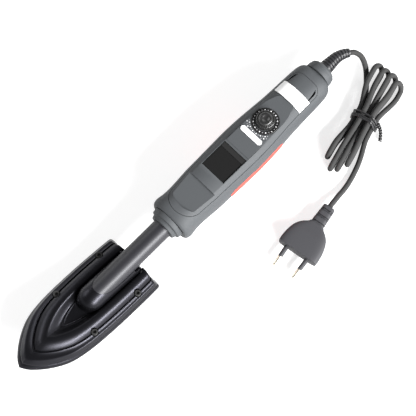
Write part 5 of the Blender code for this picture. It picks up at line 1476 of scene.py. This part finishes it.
    def upper(self) -> None:
        """The top cover with its thumb rest, flat and window opening."""
        sky = self.top + CLEAR
        keep = prism(self.cover_outline(0.0), self.cover_seat + GAP, sky)
        inside = prism(self.cover_outline(-self.cover_wall), self.cover_seat - CLEAR, self.cover_ceiling)
        flat = self.round_ended(
            self.flat_front - self.flat_lead, self.flat_rear, self.flat_half_width, 0.0, self.flat_round,
        )
        thumb = self.round_ended(
            self.thumb_front, self.flat_front, self.thumb_half_width, self.thumb_round, 0.0,
        )
        front, rear = self.window_front + HEEL_X, self.window_front + self.window_length + HEEL_X
        window = block(
            (front, -self.window_half_width, self.cover_ceiling - CLEAR), (rear, self.window_half_width, sky),
        )
        shell = carved(
            self.body(), (Cut.KEEP, keep), (Cut.TAKE, inside), (Cut.TAKE, prism(flat, self.flat, sky)),
            (Cut.TAKE, prism(thumb, self.thumb, sky)), (Cut.TAKE, window),
        )
        add_piece("handle_top_cover", shell, HANDLE_GREY, ["upper_shell"])

    def inlay(self, side: int) -> bmesh.types.BMesh:
        """A side inlay that follows the skin, narrow at both ends.

        Args:
            side: 1 for the left side, and -1 for the right one.

        Returns:
            The inlay's mesh.
        """

        def place(u: float, v: float) -> Vector:
            """A point of the inlay.

            Args:
                u: the share round its section, first over its outer face.
                v: the share along it.

            Returns:
                The point in the frame of the solids.
            """
            x = self.inlay_front + (self.inlay_rear - self.inlay_front) * v
            end = min(x - self.inlay_front, self.inlay_rear - x) / (self.inlay_tip * self.inlay_depth)
            taper = self.inlay_least + (1.0 - self.inlay_least) * smooth_step(end)
            edge = smooth_step(min(v, 1.0 - v) * self.inlay_end_slope)
            if u < 0.5:
                share = 2.0 * u
                depth = self.inlay_proud * edge * smooth_step(min(u, 0.5 - u) * self.inlay_edge_slope)
            else:
                share, depth = 2.0 - 2.0 * u, -self.inlay_depth
            angle = (-self.inlay_down + (self.inlay_up + self.inlay_down) * share) * taper
            point = self.section(x, angle, depth)
            return Vector((point.x, side * point.y, point.z))

        return skin(*self.inlay_grid, place)

    def window(self) -> None:
        """The smoked pane, with a raised ledge behind the display."""
        top = self.flat - self.window_recess
        low = top - self.window_thickness
        front = self.window_front + GAP + HEEL_X
        rear = self.window_front + self.window_length - GAP + HEEL_X
        half = self.window_half_width - GAP
        split = rear - self.window_ledge
        pane = block((front, -half, low), (split - self.ledge_gap, half, top))
        add_piece("display_pane", pane, WINDOW_BLACK, ["display_window"], bevel=self.pane_edge)
        ledge = block((split, -half, low), (rear, half, top + self.ledge_rise))
        add_piece("display_ledge", ledge, KNOB_BLACK, bevel=self.ledge_edge)

    def label(self) -> None:
        """The blank label bent over the rear of the handle."""

        def place(u: float, v: float) -> Vector:
            """A point of the label.

            Args:
                u: the share round its section, first over its outer face.
                v: the share along the handle.

            Returns:
                The point in the frame of the solids.
            """
            x = self.label_front + (self.label_rear - self.label_front) * v
            if u <= 0.5:
                share, depth = 2.0 * u, GAP + self.label_thickness
            else:
                share, depth = 2.0 - 2.0 * u, GAP * self.label_sink
            angle = math.pi / 2 + self.label_half_angle * (2.0 * share - 1.0)
            return self.section(x, angle, depth)

        label = skin(*self.label_grid, place)
        add_piece("blank_label", label, LABEL_WHITE, ["rating_label"])

    def build(self) -> None:
        """Models the handle's pieces."""
        self.lower()
        self.upper()
        for side, name in ((1, "left"), (-1, "right")):
            add_piece(f"side_inlay_{name}", self.inlay(side), INLAY_RED, [f"grip_inlay_{name}"])
        self.window()
        self.label()
        profile = eased([(x * MM, r * MM) for x, r in self.collar], self.collar_ease)
        collar = moved(turned(profile, closed=True), Matrix.Translation(spot(0.0, 0.0, AXIS_HEIGHT)))
        add_piece("turned_collar", collar, HANDLE_GREY, ["rear_collar"])


@dataclass
class DialPanel:
    """The fascia with the dial, its scale and the blank badge."""

    flat: float = 37.0 * MM
    front: float = 115.0 * MM
    rear: float = 174.6 * MM
    half_width: float = 11.7 * MM
    round: float = 22.6 * MM
    thickness: float = 0.3 * MM
    centre: float = 146.7 * MM
    ring_radius: float = 11.2 * MM
    ring_bore: float = 8.3 * MM
    dots: int = 24
    dot_radius: float = 9.6 * MM
    dot_size: float = 0.85 * MM
    dot_thickness: float = 0.06 * MM
    # Rows of marks in front of the ring: their radii, how many on either side, and their spacing.
    mark_rows: tuple[float, ...] = (12.6 * MM, 14.4 * MM, 16.2 * MM)
    mark_reach: int = 8
    mark_step: float = math.radians(8.6)
    ring_rise: float = 0.75 * MM
    ring_floor: float = 0.25 * MM
    ring_steps: int = 120
    ring_ease: float = 0.12 * MM
    ring_room: float = 0.2 * MM
    # How far inside the ring's edge its slope starts and its top lies, and where its flank ends.
    ring_slope: float = 1.0 * MM
    ring_top: tuple[float, float] = (0.75 * MM, 0.25 * MM)
    ring_flank: float = 0.6
    lift: float = 0.5
    hole_reach: tuple[float, float] = (1.0 * MM, 3.0 * MM)
    hole_sides: int = 96
    panel_edge: float = 0.08 * MM
    flutes: int = 24
    flute_depth: float = 0.4 * MM
    # Where the flutes end at the foot, at the top and inwards, and over what length they fade.
    flute_foot: tuple[float, float] = (0.6 * MM, 0.8 * MM)
    flute_top: tuple[float, float] = (5.2 * MM, 0.9 * MM)
    flute_rim: tuple[float, float] = (6.8 * MM, 0.4 * MM)
    flute_steps: int = 8
    knob_steps: int = 3
    knob: Table = (
        (0.0, 0.0), (7.2, 0.0), (7.7, 0.4), (7.75, 1.0), (7.7, 4.2), (7.35, 5.0), (6.7, 5.3),
        (6.15, 5.2), (5.9, 5.35), (5.75, 6.0), (5.3, 6.9), (4.5, 7.45), (3.7, 7.6), (3.0, 7.45),
        (2.0, 6.95), (1.0, 6.65), (0.0, 6.6),
    )
    badge_place: float = 130.6 * MM
    badge_half_length: float = 10.8 * MM
    badge_half_width: float = 2.3 * MM
    badge_steps: int = 48
    badge_low: float = 0.05 * MM
    badge_high: float = 0.6 * MM
    badge_edge: float = 0.15 * MM

    def dot(self, x: float, y: float, turn: float, height: float) -> bmesh.types.BMesh:
        """A small printed square.

        Args:
            x: its place along the handle.
            y: its place across it.
            turn: its turn about the upright.
            height: the height of its underside.

        Returns:
            The square's mesh.
        """
        half = self.dot_size / 2
        tile = block((-half, -half, 0.0), (half, half, self.dot_thickness))
        return moved(tile, Matrix.Translation((x, y, height)) @ Matrix.Rotation(turn, 4, "Z"))

    def build(self) -> None:
        """Models the panel, the ring, the marks, the badge and the knob."""
        centre = self.centre + HEEL_X
        low = self.flat + GAP * self.lift
        self.panel(centre, low)
        self.ring(centre, low)
        self.marks(centre, low)
        self.badge(low + self.thickness)
        self.turn_knob(centre)

    def panel(self, centre: float, low: float) -> None:
        """Models the fascia, with a round hole for the ring.

        Args:
            centre: the dial's centre along the handle.
            low: the height of its underside.
        """
        outline = Handle().round_ended(self.front, self.rear, self.half_width, 0.0, self.round)
        radius = self.ring_radius + self.ring_room
        below, above = self.hole_reach
        hole = rod(radius, self.flat - below, self.flat + above, (centre, 0.0), self.hole_sides)
        panel = carved(prism(outline, low, low + self.thickness), (Cut.TAKE, hole))
        add_piece(
            "dial_fascia", panel, HANDLE_GREY, ["fascia_panel"], bevel=self.panel_edge,
        )

    def ring(self, centre: float, low: float) -> None:
        """Models the raised ring round the knob.

        Args:
            centre: the dial's centre along the handle.
            low: the height of its underside.
        """
        floor, rise, radius = self.ring_floor, self.ring_rise, self.ring_radius
        profile = eased((
            (0.0, self.ring_bore), (floor, self.ring_bore), (floor, radius - self.ring_slope),
            (rise, radius - self.ring_top[0]), (rise, radius - self.ring_top[1]),
            (rise * self.ring_flank, radius), (0.0, radius),
        ), self.ring_ease)
        ring = moved(turned(profile, self.ring_steps, closed=True), upright(Vector((centre, 0.0, low))))
        add_piece("dial_ring", ring, KNOB_BLACK, ["scale_ring"])

    def marks(self, centre: float, low: float) -> None:
        """Prints the ring's marks and the rows of marks in front of it.

        Args:
            centre: the dial's centre along the handle.
            low: the height of the ring's underside.
        """
        bright, dull = [], []
        for index in range(self.dots):
            angle = math.tau * index / self.dots
            x, y = centre + self.dot_radius * math.cos(angle), self.dot_radius * math.sin(angle)
            (bright if index % 2 else dull).append(self.dot(x, y, angle, low + self.ring_floor))
        for row, radius in enumerate(self.mark_rows):
            for index in range(-self.mark_reach, self.mark_reach + 1):
                angle = math.pi + self.mark_step * (index + 0.5 * (row % 2))
                x, y = centre + radius * math.cos(angle), radius * math.sin(angle)
                beside = abs(x - HEEL_X - self.badge_place) < self.badge_half_width + self.dot_size
                if abs(y) > self.half_width - self.dot_size or (beside and abs(y) < self.badge_half_length):
                    continue
                (bright if (index + row) % 2 else dull).append(self.dot(x, y, angle, low + self.thickness))
        add_piece("scale_marks_bright", joined(bright), BADGE_WHITE)
        add_piece("scale_marks_dull", joined(dull), MARK_GREY)

    def badge(self, low: float) -> None:
        """Models the blank badge, with round ends.

        Args:
            low: the height of the fascia's face.
        """
        straight = self.badge_half_length - self.badge_half_width
        outline = []
        for step in range(self.badge_steps):
            angle = math.tau * step / self.badge_steps
            end = straight if math.sin(angle) > 0 else -straight
            outline.append((
                self.badge_place + HEEL_X + self.badge_half_width * math.cos(angle),
                end + self.badge_half_width * math.sin(angle),
            ))
        badge = prism(outline, low + self.badge_low, low + self.badge_high)
        add_piece(
            "blank_badge", badge, BADGE_WHITE, ["badge_plate"], bevel=self.badge_edge,
        )

    def turn_knob(self, centre: float) -> None:
        """Models the fluted knob, which turns with its spindle.

        Args:
            centre: the dial's centre along the handle.
        """
        seat = self.flat + 2 * GAP
        profile = [Vector((radius * MM, height * MM)) for radius, height in self.knob]
        rows = through(profile, self.knob_steps)
        last = len(rows) - 1

        def place(u: float, v: float) -> Vector:
            """A point of the knob.

            Args:
                u: the share round it.
                v: the share along its profile.

            Returns:
                The point in the frame of the solids.
            """
            radius, height = rows[round(v * last)]
            share = smooth_step((height - self.flute_foot[0]) / self.flute_foot[1])
            share *= smooth_step((self.flute_top[0] - height) / self.flute_top[1])
            share *= smooth_step((radius - self.flute_rim[0]) / self.flute_rim[1])
            radius -= self.flute_depth * share * (0.5 + 0.5 * math.cos(self.flutes * math.tau * u))
            angle = math.tau * u
            return Vector((centre + radius * math.cos(angle), radius * math.sin(angle), seat + height))

        knob = skin(self.flutes * self.flute_steps, last, place)
        add_piece("fluted_knob", knob, KNOB_BLACK, ["dial_knob"], body="dial")


@dataclass
class StrainRelief:
    """The ribbed sleeve round the cord behind the collar."""

    cord: MainsCord
    base: float = 6.4 * MM
    tip: float = 3.7 * MM
    ribs: int = 10
    depth: float = 1.15 * MM
    inner: float = -14.4 * MM
    # Each rib's groove, as shares of the rib's length, and how much of it is lost at the tip.
    groove_start: float = 0.04
    groove_end: float = 0.46
    groove_edge: float = 0.12
    groove_fade: float = 0.45
    last_rib: float = 0.35
    end_round: float = 0.5 * MM
    end_start: float = 0.985
    columns: int = 48
    rows: int = 300

    def radius(self, along: float) -> float:
        """The sleeve's radius at a distance from the collar.

        Args:
            along: the distance.

        Returns:
            The radius.
        """
        length = self.cord.relief_straight + self.cord.relief_curved
        taper = min(max(along / length, 0.0), 1.0)
        radius = self.base + (self.tip - self.base) * taper
        if along <= 0.0:
            return radius
        part = (along / length * (self.ribs + self.last_rib)) % 1.0
        groove = smooth_step((part - self.groove_start) / self.groove_edge)
        groove *= smooth_step((self.groove_end - part) / self.groove_edge)
        return radius - self.depth * (1.0 - self.groove_fade * taper) * groove

    def place(self, u: float, v: float) -> Vector:
        """A point on the sleeve's skin.

        Args:
            u: the share round it.
            v: the share along it.

        Returns:
            The point in the frame of the solids.
        """
        length = self.cord.relief_straight + self.cord.relief_curved
        along = self.inner + (length - self.inner) * v
        centre, direction = self.cord.relief_frame(along)
        across = Vector((0.0, 0.0, 1.0)).cross(direction).normalized()
        up = direction.cross(across)
        rounded = smooth_step((v - self.end_start) / (1.0 - self.end_start))
        radius = self.radius(along) - self.end_round * rounded
        return centre + radius * (math.cos(math.tau * u) * across + math.sin(math.tau * u) * up)

    def build(self) -> None:
        """Models the sleeve."""
        sleeve = skin(self.columns, self.rows, self.place)
        add_piece("ribbed_relief", sleeve, RELIEF_BLACK, ["strain_relief"])


@dataclass
class CordTie:
    """The wire tie wound round the hank's waist, with its twisted ends."""

    cord: MainsCord
    radius: float = 0.8 * MM
    turns: int = 3
    pitch: float = 2.2 * MM
    tail: Table = (
        (3.0, 10.6, 6.0), (1.5, 13.0, 4.6), (-1.0, 15.4, 3.2), (-4.4, 17.4, 2.6), (-8.0, 18.6, 2.6),
    )
    tail_steps: int = 16
    twist: float = 0.88 * MM
    twist_turns: float = 3.5
    steps: int = 56
    wander: float = 0.5 * MM
    rounding: int = 3

    def girdle(self, along: float, angle: float) -> Vector:
        """A point on the tight line round all runs, seen from an angle.

        Args:
            along: the distance along the runs.
            angle: the angle round the hank's waist.

        Returns:
            The point in the frame of the solids.
        """
        out = Vector((math.cos(angle), math.sin(angle)))
        best = None
        for index in range(self.cord.fingers + 1):
            for layer in range(2 if index < self.cord.fingers else 1):
                across = (index - self.cord.fingers / 2) * self.cord.waist_pitch
                place = Vector((across, self.cord.column(0.0, index, layer).z))
                if best is None or place.dot(out) > best.dot(out):
                    best = place
        line = best + out * (self.cord.radius + GAP + self.radius)
        return self.cord.hank_place(along, line.x, max(line.y, self.radius))

    def strand(self, line: Sequence[Vector], start: float) -> list[Vector]:
        """One wire of the twisted ends.

        Args:
            line: the line that both wires wind about.
            start: the angle at which the wire starts.

        Returns:
            The wire's points.
        """
        last = len(line) - 1
        points = []
        for index, point in enumerate(line):
            ahead = (line[min(index + 1, last)] - line[max(index - 1, 0)]).normalized()
            across = Vector((0.0, 0.0, 1.0)).cross(ahead).normalized()
            angle = start + math.tau * self.twist_turns * (index / last)
            points.append(
                point + self.twist * (math.cos(angle) * across + math.sin(angle) * ahead.cross(across))
            )
        return points

    def build(self) -> bpy.types.Object:
        """Winds the tie.

        Returns:
            The tie.
        """
        wound = []
        for step in range(self.turns * self.steps + 1):
            angle = math.tau * step / self.steps
            along = self.pitch * (step / self.steps - self.turns / 2) + self.wander * math.sin(angle * 0.5)
            wound.append(self.girdle(along, angle))
        corners = [self.cord.hank_place(u * MM, v * MM, z * MM) for u, v, z in self.tail]
        line = through(corners, self.tail_steps)
        strands = [wound, self.strand(line, 0.0), self.strand(line, math.pi)]
        tie = laid_curve("wire_tie", strands, self.radius, self.rounding, TIE_BLACK)
        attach(tie, "iron")
        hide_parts("cord_tie")
        LOG.info("wire tie of %d turns", self.turns)
        return tie


@dataclass
class MainsPlug:
    """The two-pin plug with its neck, sleeves and pins."""

    face: tuple[float, float] = (93.3 * MM, -87.2 * MM)
    turn: float = math.radians(8.8)
    thickness: float = 13.7 * MM
    width: float = 35.3 * MM
    length: float = 28.0 * MM
    power: float = 5.5
    edge: float = 0.7 * MM
    shares: Table = (
        (0.0, 0.985), (0.06, 1.0), (0.20, 1.0), (0.40, 0.965), (0.60, 0.885), (0.74, 0.77),
        (0.85, 0.62), (0.94, 0.43), (1.0, 0.36),
    )
    neck_length: float = 17.5 * MM
    neck_half_width: float = 5.9 * MM
    neck_half_height: float = 4.9 * MM
    slots: tuple[float, ...] = (0.8, 5.4, 6.9, 11.6, 13.1)
    pin_spacing: float = 19.0 * MM
    pin_radius: float = 2.0 * MM
    pin_length: float = 19.0 * MM
    sleeve_length: float = 10.0 * MM
    sleeve_radius: float = 1.9 * MM
    lean: float = math.radians(1.6)
    # How much thinner the body gets, and from what share of its length.
    rear_thinning: float = 0.2
    rear_start: float = 0.55
    slot_width: float = 1.1 * MM
    slot_edge: float = 0.25 * MM
    slot_depths: tuple[float, float] = (1.3 * MM, 0.9 * MM)
    neck_power: float = 4.0
    neck_taper: float = 0.14
    neck_round: float = 0.6 * MM
    neck_end: float = 0.96
    body_grid: tuple[int, int] = (144, 90)
    neck_grid: tuple[int, int] = (72, 150)
    sleeve_root: float = 0.5 * MM
    pin_gap: float = 0.3
    pin_steps: int = 48
    pin_ease: float = 0.25 * MM
    pin_nose: Table = ((0.9, 1.0), (0.3, 0.78), (0.0, 0.35))

    def point(self, back: float, side: float, up: float) -> Vector:
        """A point of the plug, from its face back, to its side and above its middle.

        Args:
            back: the distance behind the face.
            side: the distance to its side.
            up: the height over its middle.

        Returns:
            The point in the frame of the solids.
        """
        axis = Vector((math.cos(self.turn), math.sin(self.turn), 0.0))
        across = Vector((-axis.y, axis.x, 0.0))
        return spot(*self.face, self.thickness / 2) + axis * back + across * side + Vector((0.0, 0.0, up))

    def ring(self, u: float, back: float, half_width: float, half_height: float, power: float) -> Vector:
        """A point on a rounded section.

        Args:
            u: the share round the section.
            back: the distance behind the face.
            half_width: half its width.
            half_height: half its height.
            power: how square it is, where 2 is round.

        Returns:
            The point in the frame of the solids.
        """
        angle = math.tau * u
        across, rise = math.cos(angle), math.sin(angle)
        side = half_width * math.copysign(abs(across) ** (2.0 / power), across)
        up = half_height * math.copysign(abs(rise) ** (2.0 / power), rise)
        return self.point(back, side, up)

    def body(self, u: float, v: float) -> Vector:
        """A point on the body's skin.

        Args:
            u: the share round it.
            v: the share from its face to its rear.

        Returns:
            The point in the frame of the solids.
        """
        back = self.length * v
        width = max(self.width / 2 * share_at(self.shares, v)[0], self.neck_half_width)
        thinned = self.rear_thinning * smooth_step((v - self.rear_start) / (1.0 - self.rear_start))
        height = self.thickness / 2 * (1.0 - thinned)
        inset = self.edge * (1.0 - math.sqrt(1.0 - (1.0 - min(back / self.edge, 1.0)) ** 2))
        return self.ring(u, back, width - inset, height - inset, self.power)

    def neck(self, u: float, v: float) -> Vector:
        """A point on the slotted neck.

        Args:
            u: the share round it.
            v: the share from the body to its rear end.

        Returns:
            The point in the frame of the solids.
        """
        back = self.neck_length * v
        sink = 0.0
        for index, slot in enumerate(self.slots):
            inside = smooth_step((back - slot * MM) / self.slot_edge)
            inside *= smooth_step((slot * MM + self.slot_width - back) / self.slot_edge)
            sink = max(sink, inside * self.slot_depths[index % 2])
        taper = 1.0 - self.neck_taper * v
        sink += self.neck_round * smooth_step((v - self.neck_end) / (1.0 - self.neck_end))
        width = self.neck_half_width * taper - sink
        return self.ring(
            u, self.length + GAP + back, width, self.neck_half_height * taper - sink, self.neck_power,
        )

    def pin(self, side: int, start: float, stop: float, radius: float, tip: bool) -> bmesh.types.BMesh:
        """A round length of a pin or its sleeve, which leans a little inwards.

        Args:
            side: 1 for the left pin, and -1 for the right one.
            start: how far in front of the face it starts.
            stop: how far in front of the face it ends.
            radius: its radius.
            tip: whether its end is rounded off.

        Returns:
            The mesh of that length.
        """
        first, last = (
            self.point(-along, side * (self.pin_spacing / 2 - along * math.tan(self.lean)), 0.0)
            for along in (start, stop)
        )
        length = (last - first).length
        nose = self.pin_nose if tip else ((0.0, 1.0),)
        profile = [(0.0, 0.0), (0.0, radius)]
        profile += [(length - radius * back, radius * share) for back, share in nose]
        profile.append((length, 0.0))
        turn = (last - first).to_track_quat("X", "Z").to_matrix().to_4x4()
        length_piece = turned(eased(profile, self.pin_ease), self.pin_steps)
        return moved(length_piece, Matrix.Translation(first) @ turn)

    def build(self) -> list[bpy.types.Object]:
        """Models the plug's pieces.

        Returns:
            The plug's pieces.
        """
        pieces = []
        body = skin(*self.body_grid, self.body)
        pieces.append(add_piece("plug_moulding", body, PLUG_BLACK, ["plug_body"]))
        neck = skin(*self.neck_grid, self.neck)
        pieces.append(add_piece("plug_neck", neck, PLUG_BLACK, ["plug_relief"]))
        for side, name in ((1, "left"), (-1, "right")):
            sleeve = self.pin(side, -self.sleeve_root, self.sleeve_length, self.sleeve_radius, False)
            pieces.append(add_piece(
                f"pin_sleeve_{name}", sleeve, PLUG_BLACK, [f"plug_pin_sleeve_{name}"],
            ))
            start = self.sleeve_length + GAP * self.pin_gap
            pin = self.pin(side, start, self.pin_length, self.pin_radius, True)
            pieces.append(add_piece(
                f"contact_pin_{name}", pin, PIN_NICKEL, [f"plug_pin_{name}"],
            ))
        return pieces


DRESSES = {
    "heater_element": CERAMIC, "temperature_sensor": STEEL,
    "heater_lead_left": WIRE_RED, "heater_lead_right": WIRE_RED, "sensor_lead": WIRE_RED,
    "shaft_bracket": COMPONENT_DARK, "display_module": COMPONENT_DARK,
    "circuit_board": BOARD_GREEN, "potentiometer": STEEL, "terminal_block": COMPONENT_DARK,
    "triac": COMPONENT_DARK, "capacitor": COMPONENT_DARK, "dial_spindle": STEEL,
    "cord_clamp": COMPONENT_DARK, "cord_inner_end": CORD_BLACK,
    "clamp_screw_1": STEEL, "clamp_screw_2": STEEL,
    **{f"handle_screw_{index}": STEEL for index in (1, 2, 3, 4)},
}


def main() -> None:
    """Builds the studio and the iron, piece by piece."""
    logging.basicConfig(level=logging.INFO, format="%(message)s")
    Studio().build()
    cord = MainsCord()
    line = cord.build()
    StrainRelief(cord).build()
    tie = CordTie(cord).build()
    plug = MainsPlug().build()
    cord.declare()
    Shoe().build()
    Shaft().build()
    Handle().build()
    DialPanel().build()
    for node, finish in DRESSES.items():
        dress(node, finish)
        LOG.info("%s dressed", node)


if __name__ == "__main__":
    main()
